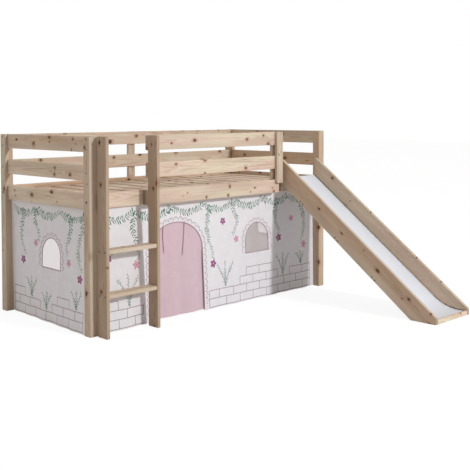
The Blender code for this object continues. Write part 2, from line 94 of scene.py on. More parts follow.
# What a Mix node needs for colours and for plain values, and a MapRange node for a soft ramp.
COLOURS = {"output": 2, "data_type": "RGBA"}
VALUES = {"output": 0, "data_type": "FLOAT"}
SOFT = {"interpolation_type": "SMOOTHSTEP"}


def linear(code: str) -> tuple[float, float, float, float]:
    """Turn an sRGB hex colour into linear light.

    Args:
        code: Six hex digits.

    Returns:
        Red, green, blue and an alpha of one.
    """
    shares = [int(code[i : i + 2], 16) / 255 for i in (0, 2, 4)]
    red, green, blue = (s / 12.92 if s <= 0.04045 else ((s + 0.055) / 1.055) ** 2.4 for s in shares)
    return red, green, blue, 1.0


class Shader:
    """A node tree in the making, of a material or of a group that materials share."""

    def __init__(self, tree: bpy.types.NodeTree) -> None:
        """Keep the tree."""
        self.tree = tree

    @classmethod
    def material(cls, name: str) -> tuple["Shader", Material]:
        """Start an empty material.

        Args:
            name: The material's name.

        Returns:
            Its shader tree and the material.
        """
        made = bpy.data.materials.new(name)
        made.use_nodes = True
        made.node_tree.nodes.clear()
        return cls(made.node_tree), made

    @classmethod
    def group(cls, name: str, inputs: dict[str, str], outputs: dict[str, str]) -> "Shader":
        """Start an empty node group.

        Args:
            name: The group's name.
            inputs: Socket kinds by input name.
            outputs: Socket kinds by output name.

        Returns:
            The group's shader tree.
        """
        tree = bpy.data.node_groups.new(name, "ShaderNodeTree")
        for side, sockets in (("INPUT", inputs), ("OUTPUT", outputs)):
            for label, kind in sockets.items():
                tree.interface.new_socket(label, in_out=side, socket_type=f"NodeSocket{kind}")
        return cls(tree)

    def add(
        self,
        kind: str,
        inputs: dict[int | str, object] | None = None,
        output: int | str = 0,
        **settings: object,
    ) -> Socket | bpy.types.Node:
        """Add one node with its settings and links.

        Args:
            kind: The node's type, without its ShaderNode prefix.
            inputs: What each input socket gets, a value or another node's output.
            output: Which of its outputs to hand back.
            settings: The node's own properties.

        Returns:
            That output socket, or the node where it has none.
        """
        prefix = "" if kind.startswith("Node") else "ShaderNode"
        node = self.tree.nodes.new(prefix + kind)
        for name, value in settings.items():
            setattr(node, name, value)
        for socket, value in (inputs or {}).items():
            if isinstance(value, Socket):
                self.tree.links.new(value, node.inputs[socket])
            else:
                node.inputs[socket].default_value = value
        return node.outputs[output] if len(node.outputs) else node


@dataclass(frozen=True)
class Ramp:
    """How one number follows another: from start to end while the other runs from low to high."""

    low: float
    high: float
    start: float = 0.0
    end: float = 1.0

    def of(self, value: Socket) -> dict[int, object]:
        """What a MapRange node gets to follow a value by this ramp."""
        return {0: value, 1: self.low, 2: self.high, 3: self.start, 4: self.end}


@dataclass(frozen=True)
class BoardFrame:
    """How one board lies: its middle, and the directions along, across and through it."""

    centre: Vector
    along: Vector
    across: Vector

    @property
    def axes(self) -> Matrix:
        """The three directions as the columns of a rotation."""
        through = self.along.cross(self.across)
        return Matrix((self.along, self.across, through)).transposed()


@dataclass(frozen=True)
class KnottyPine:
    """Slow-grown pine, sawn, planed and left unfinished.

    The eye sees pale straw wood with soft darker latewood lines, a pinker heart, small brown
    knots that the rings swerve round, and a dry surface with almost no gloss.
    """

    early: str = "DDCFB6"
    blush: str = "DEC6B3"
    late: str = "BB916C"
    heart: str = "D3B498"
    amber: str = "B2815B"
    knot_live: str = "8E5F40"
    knot_dead: str = "4F3020"
    ring_width: float = 3.4 * MM
    taper_share: float = 0.011
    # The pith wanders by this much either way along the log, and the heart's edge is as soft.
    wander: float = 9.0 * MM
    heart_edge: float = 9.0 * MM
    # Branches stand at steps along the log and round it, and this share of the places is bare.
    whorl_pitch: float = 0.21
    branch_angle: float = 0.62
    bare_share: float = 0.64
    # The smallest knot's radius, how much larger the largest is, and how rare large ones are.
    knot_least: float = 2.6 * MM
    knot_spread: float = 9.0 * MM
    knot_rarity: float = 1.7
    # A branch cut by a flat face is a little longer along the board than it is wide.
    knot_stretch: float = 0.78
    # How far the rings swerve round a knot, in its radii, and how fast that dies out.
    swerve: float = 1.6
    swerve_fade: float = 0.40
    # How many of each figure there are in a metre along, across and through the board.
    bends: Point3 = (1.7, 6.0, 6.0)
    wavers: Point3 = (9.0, 70.0, 70.0)
    blotches: Point3 = (1.8, 17.0, 17.0)
    tints: Point3 = (2.2, 34.0, 34.0)
    # Fibres are about 0.03 mm wide. They are drawn 1.25 mm wide, so that they show.
    fibres: Point3 = (26.0, 800.0, 800.0)
    # Latewood darkens slowly over the summer and ends at a sharp line in the autumn.
    summer: Ramp = Ramp(0.30, 0.88)
    autumn: Ramp = Ramp(0.92, 1.0, 1.0, 0.0)
    late_depth: Ramp = Ramp(0.3, 0.7, 0.16, 0.72)
    heart_share: float = 0.7
    blushing: Ramp = Ramp(0.38, 0.62)
    # By distance in its own radii: a knot lies in a ring of amber resin, and is darkest in
    # the bark at its rim.
    resin: Ramp = Ramp(0.9, 3.4, 0.62, 0.0)
    bark: Ramp = Ramp(0.45, 0.95, 0.0, 0.8)
    inside: Ramp = Ramp(0.85, 1.2, 1.0, 0.0)
    patch_tone: Ramp = Ramp(0.28, 0.72, 1.07, 0.88)
    fibre_tone: Ramp = Ramp(0.3, 0.7, 0.965, 1.03)
    # A sawn end drinks in light between its cut fibres.
    end_tone: Ramp = Ramp(0.5, 0.8, 1.0, 0.66)
    # A knot is harder than the wood round it, so the plane leaves it smoother and prouder.
    roughness: Ramp = Ramp(0.0, 1.0, 0.62, 0.48)
    ring_rise: float = 0.35
    knot_rise: float = 0.5
    relief: float = 0.25 * MM
    figure: Shader = field(default_factory=lambda: Shader.group(
        "pine_figure",
        {"Point": "Vector", "End": "Float", "Heart": "Float", "Tone": "Float"},
        {"Color": "Color", "Roughness": "Float", "Height": "Float"},
    ))

    def __post_init__(self) -> None:
        """Draw the figure that every board shares."""
        add = self.figure.add
        given = add("NodeGroupInput").node.outputs
        point = given["Point"]
        stretched = add("VectorMath", {0: point, 1: self.bends}, operation="MULTIPLY")
        wave = add("TexNoise", {"Vector": stretched, "Scale": 1.0, "Detail": 2.0}, output="Color")
        most, least = (0.0, 2 * self.wander, 2 * self.wander), (0.0, -self.wander, -self.wander)
        shift = add("VectorMath", {0: wave, 1: most, 2: least}, operation="MULTIPLY_ADD")
        bent = add("VectorMath", {0: point, 1: shift}, operation="ADD")
        split = add("SeparateXYZ", {0: bent}).node.outputs
        flat = add("VectorMath", {0: bent, 1: (0.0, 1.0, 1.0)}, operation="MULTIPLY")
        radius = add("VectorMath", {0: flat}, output="Value", operation="LENGTH")
        angle = add("Math", {0: split[1], 1: split[2]}, operation="ARCTAN2")
        ratio, random, size = self._knots(split[0], angle, radius)
        ring = self._rings(bent, split[0], radius, ratio, size)
        self._colour(given, ring, radius, ratio, random)

    def _knots(self, along: Socket, angle: Socket, radius: Socket) -> tuple[Socket, Sockets, Socket]:
        """Scatter branches along the log and round it.

        Args:
            along: The way along the log.
            angle: The angle round the pith.
            radius: The distance from the pith.

        Returns:
            The distance from the nearest branch in its own radii, its random numbers, and its radius.
        """
        add = self.figure.add
        lengthwise = add("Math", {0: along, 1: self.whorl_pitch}, operation="DIVIDE")
        round_it = add("Math", {0: angle, 1: self.branch_angle}, operation="DIVIDE")
        cell = add("CombineXYZ", {0: lengthwise, 1: round_it})
        branch = add(
            "TexVoronoi", {"Vector": cell, "Scale": 1.0, "Randomness": 0.95}, voronoi_dimensions="2D"
        ).node.outputs
        away = add("VectorMath", {0: cell, 1: branch["Position"]}, operation="SUBTRACT")
        cell_size = (self.whorl_pitch * self.knot_stretch, self.branch_angle, 0.0)
        away = add("VectorMath", {0: away, 1: cell_size}, operation="MULTIPLY")
        parts = add("SeparateXYZ", {0: away}).node.outputs
        sideways = add("Math", {0: parts[1], 1: radius}, operation="MULTIPLY")
        away = add("CombineXYZ", {0: parts[0], 1: sideways})
        apart = add("VectorMath", {0: away}, output="Value", operation="LENGTH")
        random = add("SeparateColor", {0: branch["Color"]}).node.outputs
        present = add("Math", {0: random[0], 1: self.bare_share}, operation="GREATER_THAN")
        skew = add("Math", {0: random[1], 1: self.knot_rarity}, operation="POWER")
        width = add("Math", {0: skew, 1: self.knot_spread, 2: self.knot_least}, operation="MULTIPLY_ADD")
        size = add("Math", {0: width, 1: present}, operation="MULTIPLY")
        never_zero = add("Math", {0: size, 1: 0.05 * MM}, operation="ADD")
        ratio = add("Math", {0: apart, 1: never_zero}, operation="DIVIDE")
        return ratio, random, size

    def _rings(self, bent: Socket, along: Socket, radius: Socket, ratio: Socket, size: Socket) -> Socket:
        """Draw the year rings.

        Args:
            bent: The point in the wandering log.
            along: The way along the log.
            radius: The distance from the pith.
            ratio: The distance from the nearest branch in its radii.
            size: That branch's radius.

        Returns:
            Zero in pale earlywood, one in dark latewood.
        """
        add = self.figure.add
        near = add("Math", {0: ratio, 1: self.swerve_fade}, operation="MULTIPLY")
        near = add("Math", {0: near, 1: 2.0}, operation="POWER")
        near = add("Math", {0: near, 1: -1.0}, operation="MULTIPLY")
        fade = add("Math", {0: near}, operation="EXPONENT")
        pull = add("Math", {0: fade, 1: size}, operation="MULTIPLY")
        pull = add("Math", {0: pull, 1: -self.swerve}, operation="MULTIPLY")
        tapered = add("Math", {0: along, 1: self.taper_share, 2: radius}, operation="MULTIPLY_ADD")
        pulled = add("Math", {0: tapered, 1: pull}, operation="ADD")
        rough = add("VectorMath", {0: bent, 1: self.wavers}, operation="MULTIPLY")
        waver = add("TexNoise", {"Vector": rough, "Scale": 1.0, "Detail": 2.0})
        # Good years and lean years: the phase runs ahead or behind by up to half a ring.
        phase = add("Math", {0: pulled, 1: 1 / self.ring_width, 2: waver}, operation="MULTIPLY_ADD")
        share = add("Math", {0: phase}, operation="FRACT")
        summer, autumn = (add("MapRange", ramp.of(share), **SOFT) for ramp in (self.summer, self.autumn))
        return add("Math", {0: summer, 1: autumn}, operation="MULTIPLY")

    def _colour(self, given: Sockets, ring: Socket, radius: Socket, ratio: Socket, random: Sockets) -> None:
        """Colour the wood and hand the results out of the group.

        Args:
            given: The group's inputs.
            ring: The latewood share.
            radius: The distance from the pith.
            ratio: The distance from the nearest branch in its radii.
            random: That branch's random numbers.
        """
        add = self.figure.add
        point = given["Point"]
        clouds = []
        for counts, detail in ((self.blotches, 3.0), (self.fibres, 2.0), (self.tints, 1.0)):
            stretched = add("VectorMath", {0: point, 1: counts}, operation="MULTIPLY")
            clouds.append(add("TexNoise", {"Vector": stretched, "Scale": 1.0, "Detail": detail}))
        blotch, fibre, tint = clouds
        inner = add("Math", {0: given["Heart"], 1: self.heart_edge}, operation="SUBTRACT")
        outer = add("Math", {0: given["Heart"], 1: self.heart_edge}, operation="ADD")
        core = add("MapRange", {0: radius, 1: inner, 2: outer, 3: self.heart_share, 4: 0.0}, **SOFT)
        blush = add("MapRange", self.blushing.of(tint))
        straw = add("Mix", {0: blush, 6: linear(self.early), 7: linear(self.blush)}, **COLOURS)
        wood = add("Mix", {0: core, 6: straw, 7: linear(self.heart)}, **COLOURS)
        depth = add("Math", {0: ring, 1: add("MapRange", self.late_depth.of(blotch))}, operation="MULTIPLY")
        wood = add("Mix", {0: depth, 6: wood, 7: linear(self.late)}, **COLOURS)
        resin, bark, inside = (
            add("MapRange", ramp.of(ratio), **SOFT) for ramp in (self.resin, self.bark, self.inside)
        )
        wood = add("Mix", {0: resin, 6: wood, 7: linear(self.amber)}, **COLOURS)
        knot = add("Mix", {0: random[2], 6: linear(self.knot_live), 7: linear(self.knot_dead)}, **COLOURS)
        knot = add("Mix", {0: bark, 6: knot, 7: linear(self.knot_dead)}, **COLOURS)
        wood = add("Mix", {0: inside, 6: wood, 7: knot}, **COLOURS)
        lit = add("MapRange", self.patch_tone.of(blotch))
        for share in (
            add("MapRange", self.fibre_tone.of(fibre)),
            add("MapRange", self.end_tone.of(given["End"])),
            given["Tone"],
        ):
            lit = add("Math", {0: lit, 1: share}, operation="MULTIPLY")
        colour = add("VectorMath", {0: wood, "Scale": lit}, operation="SCALE")
        rough = add("MapRange", self.roughness.of(inside))
        height = add("Math", {0: ring, 1: self.ring_rise, 2: fibre}, operation="MULTIPLY_ADD")
        height = add("Math", {0: inside, 1: self.knot_rise, 2: height}, operation="MULTIPLY_ADD")
        add("NodeGroupOutput", {"Color": colour, "Roughness": rough, "Height": height})

    def dress(self, board: BoardFrame, name: str, pith: Point3, heart: float, tone: float) -> Material:
        """Make the material of one board.

        Args:
            board: How the board lies.
            name: The board's name.
            pith: Where the log's pith runs: a shift along it, and the way across and through.
            heart: The radius of the pinker heartwood.
            tone: The board's brightness beside the others.

        Returns:
            The board's own material.
        """
        shader, made = Shader.material(f"knotty_pine_{name}")
        add = shader.add
        axes = board.axes
        placed = add("TexCoord").node.outputs
        lie = {
            "Vector": placed["Object"],
            "Location": board.centre + axes @ Vector(pith),
            "Rotation": axes.to_euler(),
        }
        point = add("Mapping", lie, vector_type="TEXTURE")
        back = axes.transposed().to_euler()
        facing = add("Mapping", {"Vector": placed["Normal"], "Rotation": back}, vector_type="VECTOR")
        facing = add("VectorMath", {0: facing}, operation="ABSOLUTE")
        end = add("SeparateXYZ", {0: facing})
        sockets = {"Point": point, "End": end, "Heart": heart, "Tone": tone}
        figure = add("Group", sockets, node_tree=self.figure.tree).node.outputs
        bump = add("Bump", {"Height": figure["Height"], "Distance": self.relief, "Strength": 0.7})
        look = {
            "Base Color": figure["Color"],
            "Roughness": figure["Roughness"],
            "Normal": bump,
            "IOR": 1.5,
            "Specular IOR Level": 0.35,
        }
        add("OutputMaterial", {"Surface": add("BsdfPrincipled", look)})
        return made


@dataclass(frozen=True)
class WhiteLaminate:
    """Melamine-faced board: paper soaked in resin and pressed smooth on the slide's sheet.

    The eye sees a cool white, a satin gloss from the resin, and a faint pressed texture.
    """

    face: str = "EDEFF4"
    shade: str = "E5E8EE"
    clouds: float = 5.0
    # The press plate leaves pearls about 1.5 mm across.
    pearls: float = 650.0
    pearl_depth: float = 0.03 * MM
    # Rubbed by sliding clothes, so the gloss varies along the run.
    rubs: Point3 = (60.0, 4.0, 4.0)
    gloss: Ramp = Ramp(0.0, 1.0, 0.24, 0.36)

    def dress(self) -> Material:
        """Make the laminate.

        Returns:
            The material.
        """
        shader, made = Shader.material("white_laminate")
        add = shader.add
        place = add("TexCoord", output="Object")
        cloud = add("TexNoise", {"Vector": place, "Scale": self.clouds, "Detail": 3.0})
        colour = add("Mix", {0: cloud, 6: linear(self.face), 7: linear(self.shade)}, **COLOURS)
        pearl = add("TexNoise", {"Vector": place, "Scale": self.pearls, "Detail": 1.0})
        relief = add("Bump", {"Height": pearl, "Distance": self.pearl_depth, "Strength": 0.5})
        rubbed = add("VectorMath", {0: place, 1: self.rubs}, operation="MULTIPLY")
        rub = add("TexNoise", {"Vector": rubbed, "Scale": 1.0, "Detail": 2.0})
        rough = add("MapRange", self.gloss.of(rub))
        look = {"Base Color": colour, "Roughness": rough, "Normal": relief, "IOR": 1.52}
        add("OutputMaterial", {"Surface": add("BsdfPrincipled", look)})
        return made


class Ink(Enum):
    """The colours on the printed canvas, and its two plain sides, in the order of its slots."""

    GROUND = "F1EDEE"
    LINE = "97707F"
    SAGE = "5F8D76"
    FERN = "3D6B54"
    PLUM = "A0588A"
    ROSE = "DDA3B6"
    REVERSE = "E9E5E2"


@dataclass(frozen=True)
class WovenCotton:
    """Cotton in plain weave, printed or piece-dyed.

    The eye sees matt cloth with a soft nap at grazing light, threads that vary in thickness,
    and ink that lies a little uneven on them.
    """

    # Canvas has about 16 threads in 10 mm. They are drawn 1.5 mm apart, so that they show.
    thread: float = 1.5 * MM
    # Thick stretches of thread are drawn about 110 mm long and 2.3 mm wide.
    slubs_along: float = 9.0
    slubs_across: float = 430.0
    blotches: float = 22.0
    slub_tone: Ramp = Ramp(0.6, 1.4, 0.95, 1.03)
    blotch_tone: Ramp = Ramp(0.3, 0.7, 0.965, 1.02)
    # Between the threads, where the weave dips, the cloth is darkened a little: painted shade in the weave's
    # hollows.
    weave_hollow_shade: Ramp = Ramp(0.0, 1.0, 0.94, 1.01)
    slub_rise: float = 0.35
    relief: float = 0.22 * MM
    figure: Shader = field(default_factory=lambda: Shader.group(
        "cotton_weave",
        {"Dye": "Color", "Thread": "Float"},
        {"Color": "Color", "Height": "Float", "Gap": "Float"},
    ))

    def __post_init__(self) -> None:
        """Draw the weave that every cotton piece shares."""
        add = self.figure.add
        given = add("NodeGroupInput").node.outputs
        flat = add("UVMap", uv_map="flat")
        per_thread = add("Math", {0: math.pi, 1: given["Thread"]}, operation="DIVIDE")
        counted = add("VectorMath", {0: flat, "Scale": per_thread}, operation="SCALE")
        split = add("SeparateXYZ", {0: counted}).node.outputs
        warp, weft = (add("Math", {0: way}, operation="SINE") for way in split[:2])
        product = add("Math", {0: warp, 1: weft}, operation="MULTIPLY")
        over = add("Math", {0: product, 1: 0.0}, operation="GREATER_THAN")
        warp_up, weft_up = (add("Math", {0: way}, operation="ABSOLUTE") for way in (warp, weft))
        height = add("Mix", {0: over, 2: warp_up, 3: weft_up}, **VALUES)
        slubs = []
        for counts in ((self.slubs_across, self.slubs_along), (self.slubs_along, self.slubs_across)):
            stretched = add("VectorMath", {0: flat, 1: (*counts, 1.0)}, operation="MULTIPLY")
            slubs.append(add("TexNoise", {"Vector": stretched, "Scale": 1.0, "Detail": 1.0}))
        slub = add("Math", dict(enumerate(slubs)), operation="ADD")
        uneven = add("TexNoise", {"Vector": flat, "Scale": self.blotches, "Detail": 3.0})
        lit = add("MapRange", self.slub_tone.of(slub))
        # The weave's hollows get their painted shade here.
        for ramp, value in ((self.blotch_tone, uneven), (self.weave_hollow_shade, height)):
            lit = add("Math", {0: lit, 1: add("MapRange", ramp.of(value))}, operation="MULTIPLY")
        colour = add("VectorMath", {0: given["Dye"], "Scale": lit}, operation="SCALE")
        raised = add("Math", {0: slub, 1: self.slub_rise, 2: height}, operation="MULTIPLY_ADD")
        gap = add("Math", {0: warp_up, 1: weft_up}, operation="MAXIMUM")
        add("NodeGroupOutput", {"Color": colour, "Height": raised, "Gap": gap})

    def dress(self, name: str, dye: str, thread: float | None = None, sheen: float = 0.15) -> Material:
        """Make cotton of one colour.

        Args:
            name: The material's name.
            dye: Its sRGB hex colour.
            thread: The thread spacing, where it isn't the canvas's.
            sheen: How much nap it has.

        Returns:
            The material.
        """
        shader, made = Shader.material(name)
        add = shader.add
        sockets = {"Dye": linear(dye), "Thread": thread or self.thread}
        figure = add("Group", sockets, node_tree=self.figure.tree).node.outputs
        bump = add("Bump", {"Height": figure["Height"], "Distance": self.relief, "Strength": 0.6})
        look = {
            "Base Color": figure["Color"],
            "Roughness": 0.88,
            "Normal": bump,
            "Specular IOR Level": 0.25,
            "Sheen Weight": sheen,
            "Sheen Roughness": 0.5,
        }
        add("OutputMaterial", {"Surface": add("BsdfPrincipled", look)})
        return made

    def sheer(self, name: str, dye: str, thread: float, cover: Ramp) -> Material:
        """Make voile, whose fine twisted threads leave open gaps that light passes.

        Args:
            name: The material's name.
            dye: Its sRGB hex colour.
            thread: The thread spacing.
            cover: How much of the light is stopped, from a gap to a thread.

        Returns:
            The material.
        """
        shader, made = Shader.material(name)
        add = shader.add
        sockets = {"Dye": linear(dye), "Thread": thread}
        figure = add("Group", sockets, node_tree=self.figure.tree).node.outputs
        veil = add("MapRange", cover.of(figure["Gap"]))
        look = {"Base Color": figure["Color"], "Roughness": 0.8, "Alpha": veil, "Sheen Weight": 0.1}
        add("OutputMaterial", {"Surface": add("BsdfPrincipled", look)})
        return made


@dataclass(frozen=True)
class ZincSteel:
    """Steel fasteners, cold-headed and zinc-plated.

    The eye sees a grey metal, dulled by the plating's fine grain and darker in the socket.
    """

    body: str = "7A6E62"
    worn: str = "5C5148"
    # The plating's grain is far under 0.1 mm. It is drawn 1.1 mm wide, so that it shows.
    grains: float = 900.0
    gloss: Ramp = Ramp(0.0, 1.0, 0.32, 0.5)

    def dress(self) -> Material:
        """Make the plated steel.

        Returns:
            The material.
        """
        shader, made = Shader.material("zinc_steel")
        add = shader.add
        place = add("TexCoord", output="Object")
        grain = add("TexNoise", {"Vector": place, "Scale": self.grains, "Detail": 2.0})
        colour = add("Mix", {0: grain, 6: linear(self.body), 7: linear(self.worn)}, **COLOURS)
        rough = add("MapRange", self.gloss.of(grain))
        look = {"Base Color": colour, "Metallic": 1.0, "Roughness": rough}
        add("OutputMaterial", {"Surface": add("BsdfPrincipled", look)})
        return made


def add_mesh(
    name: str,
    points: np.ndarray | Sequence[Sequence[float]],
    faces: Sequence[Sequence[int]],
    finishes: Sequence[Material],
    indices: Sequence[int] | None = None,
    flat: np.ndarray | None = None,
    crease: float = 35.0,
) -> Piece:
    """Make a smooth-shaded mesh piece in the frame's own coordinates.

    Args:
        name: The piece's name.
        points: Its corners.
        faces: The corner numbers of each face.
        finishes: Its materials.
        indices: The material of each face.
        flat: Each corner's place on the flat cloth.
        crease: Edges that turn by more degrees than this stay sharp.

    Returns:
        The object.
    """
    mesh = bpy.data.meshes.new(name)
    mesh.from_pydata([tuple(map(float, p)) for p in points], [], [tuple(map(int, f)) for f in faces])
    for finish in finishes:
        mesh.materials.append(finish)
    if indices is not None:
        mesh.polygons.foreach_set("material_index", np.asarray(indices, np.int32))
    if flat is not None:
        corners = np.empty(len(mesh.loops), np.int32)
        mesh.loops.foreach_get("vertex_index", corners)
        layer = mesh.uv_layers.new(name="flat")
        layer.data.foreach_set("uv", np.asarray(flat, np.float32)[corners].ravel())
    mesh.validate()
    mesh.shade_smooth()
    mesh.set_sharp_from_angle(angle=math.radians(crease))
    piece = bpy.data.objects.new(name, mesh)
    bpy.context.scene.collection.objects.link(piece)
    return piece


@dataclass(frozen=True)
class Arch:
    """An opening in a panel, with upright sides and a half-elliptic top."""

    centre: float
    half: float
    foot_half: float
    sill: float
    spring: float
    crown: float
    steps: int = 40
    side_step: float = 0.012

    def wider(self, lap: float, sill: float) -> "Arch":
        """The same opening, larger by the lap at its sides and top, down to another sill."""
        half, foot_half, crown = self.half + lap, self.foot_half + lap, self.crown + lap
        return Arch(self.centre, half, foot_half, sill, self.spring, crown, self.steps)

    def rim(self) -> list[Point2]:
        """Walk the opening's edge from its right foot over the top to its left foot.

        Returns:
            Points across and up.
        """
        points = self._side(1)
        for step in range(self.steps + 1):
            turn = math.pi * step / self.steps
            x = self.centre + self.half * math.cos(turn)
            points.append((x, self.spring + (self.crown - self.spring) * math.sin(turn)))
        return points + self._side(-1)[::-1]

    def _side(self, hand: int) -> list[Point2]:
        """Walk up one side.

        Args:
            hand: 1 for the right side, -1 for the left.

        Returns:
            Points across and up, without the one where the arch springs.
        """
        rows = max(2, round((self.spring - self.sill) / self.side_step))
        found = []
        for row in range(rows):
            share = row / rows
            half = self.foot_half + (self.half - self.foot_half) * share
            found.append((self.centre + hand * half, self.sill + (self.spring - self.sill) * share))
        return found


@dataclass(frozen=True)
class Fall:
    """Where a panel hangs, and how its cloth leaves the upright plane of its heading."""

    origin: Point3
    turn: float
    width: float
    ripples: int
    swings: tuple[float, ...]
    seed: float
    hem_swing: float = 0.055
    ripple_depth: float = 2.5 * MM
    heading_foot: float = 0.717
    top: float = 0.737
    foot: float = 0.003
    # Creases of two sizes, and the length below the heading over which they come in.
    broad_crease: float = 3.4 * MM
    fine_crease: float = 1.1 * MM
    crease_ease: float = 0.18

    def stand(self, x: np.ndarray, z: np.ndarray) -> np.ndarray:
        """Work out how far the cloth stands forward of its heading.

        Args:
            x: Places across the panel.
            z: Heights.

        Returns:
            The forward stand of each point.
        """
        along = x / self.width
        drop = np.clip((self.heading_foot - z) / self.heading_foot, 0, None)
        place = along * (len(self.swings) - 1)
        left = np.clip(place.astype(int), 0, len(self.swings) - 2)
        blend = (1 - np.cos(np.pi * (place - left))) / 2
        shares = np.array(self.swings)
        swing = shares[left] * (1 - blend) + shares[left + 1] * blend
        ripple = self.ripple_depth * np.sin(2 * np.pi * self.ripples * along)
        return drop * (self.hem_swing * swing + ripple) + self.crease(x, z)

    def crease(self, x: np.ndarray, z: np.ndarray) -> np.ndarray:
        """Draw the soft creases that the cloth keeps from being folded and handled.

        Args:
            x: Places across the panel.
            z: Heights.

        Returns:
            A forward stand of up to about 2 mm, and none at the heading.
        """
        ease = np.clip((self.heading_foot - z) / self.crease_ease, 0, 1)
        found = np.empty(len(x))
        # A broad crease is about 150 mm wide and 420 mm tall, a fine one 50 by 120 mm and slanting.
        for i, (a, b) in enumerate(zip(x, z)):
            broad = noise.noise((a * 6.5 + self.seed, b * 2.4, self.seed))
            fine = noise.noise((a * 19 + b * 5, b * 8 - a * 3, self.seed + 7))
            found[i] = self.broad_crease * broad + self.fine_crease * fine
        return found * ease

    def place(self, x: Numbers, z: Numbers, depth: Numbers) -> np.ndarray:
        """Hang points of the flat cloth.

        Args:
            x: Places across the panel.
            z: Heights.
            depth: How far each lies behind the cloth's face plane.

        Returns:
            Points in the frame.
        """
        x, z = np.asarray(x, float), np.asarray(z, float)
        inward = np.broadcast_to(np.asarray(depth, float), x.shape) - self.stand(x, z)
        c, s = math.cos(self.turn), math.sin(self.turn)
        return np.column_stack([
            self.origin[0] + c * x - s * inward,
            self.origin[1] + s * x + c * inward,
            self.origin[2] + z,
        ])


FRONT_FALL = Fall(
    origin=(-0.9925, 0.1773, 0.0),
    turn=0.0,
    width=1.985,
    ripples=11,
    swings=(0.74, 0.92, 0.66, 0.50, 0.56, 0.66, 0.48, 0.50, 0.36, 0.40, 0.22, 0.28, 0.18),
    seed=3.0,
)
END_SWINGS = (-0.16, -0.01, 0.08, 0.22, 0.31, 0.46, 0.56, 0.70)
LEFT_FALL = Fall((-1.0097, 1.0325, 0.0), -math.pi / 2, 0.855, 5, END_SWINGS, seed=11.0)
RIGHT_FALL = Fall((1.0097, 0.1775, 0.0), math.pi / 2, 0.855, 5, END_SWINGS, seed=23.0)
DOORWAY = Arch(centre=0.6365, half=0.2185, foot_half=0.2215, sill=0.003, spring=0.413, crown=0.589, steps=56)
FRONT_WINDOW = Arch(centre=1.374, half=0.114, foot_half=0.114, sill=0.325, spring=0.408, crown=0.522)
END_WINDOW = Arch(centre=0.469, half=0.103, foot_half=0.103, sill=0.334, spring=0.411, crown=0.517)

# How far each layer lies behind the cloth's face plane, how finely cloth is cut and sewn, and
# by how many degrees it turns at an edge that stays sharp.
CLOTH_NEAR = 1.0 * MM
CLOTH_FAR = 2.0 * MM
HEM_FAR = 2.9 * MM
LINING_NEAR = 3.3 * MM
LINING_FAR = LINING_NEAR + 0.3 * MM
CUT_STEP = 0.009
SEAM_STEP = 0.006
CLOTH_GRID = (0.011, 0.018)
FLAP_GRID = (0.008, 0.014)
CLOTH_CREASE = 50.0
THREAD_CREASE = 70.0


def leftward(loop: Sequence[Point2]) -> list[Point2]:
    """The same closed loop, ordered so that its inside lies to the left."""
    double = sum(a[0] * b[1] - b[0] * a[1] for a, b in zip(loop, [*loop[1:], loop[0]]))
    return list(loop) if double > 0 else list(loop)[::-1]


def lengths(line: np.ndarray) -> np.ndarray:
    """How far along a line each of its points lies."""
    return np.concatenate([[0.0], np.cumsum(np.linalg.norm(np.diff(line, axis=0), axis=1))])


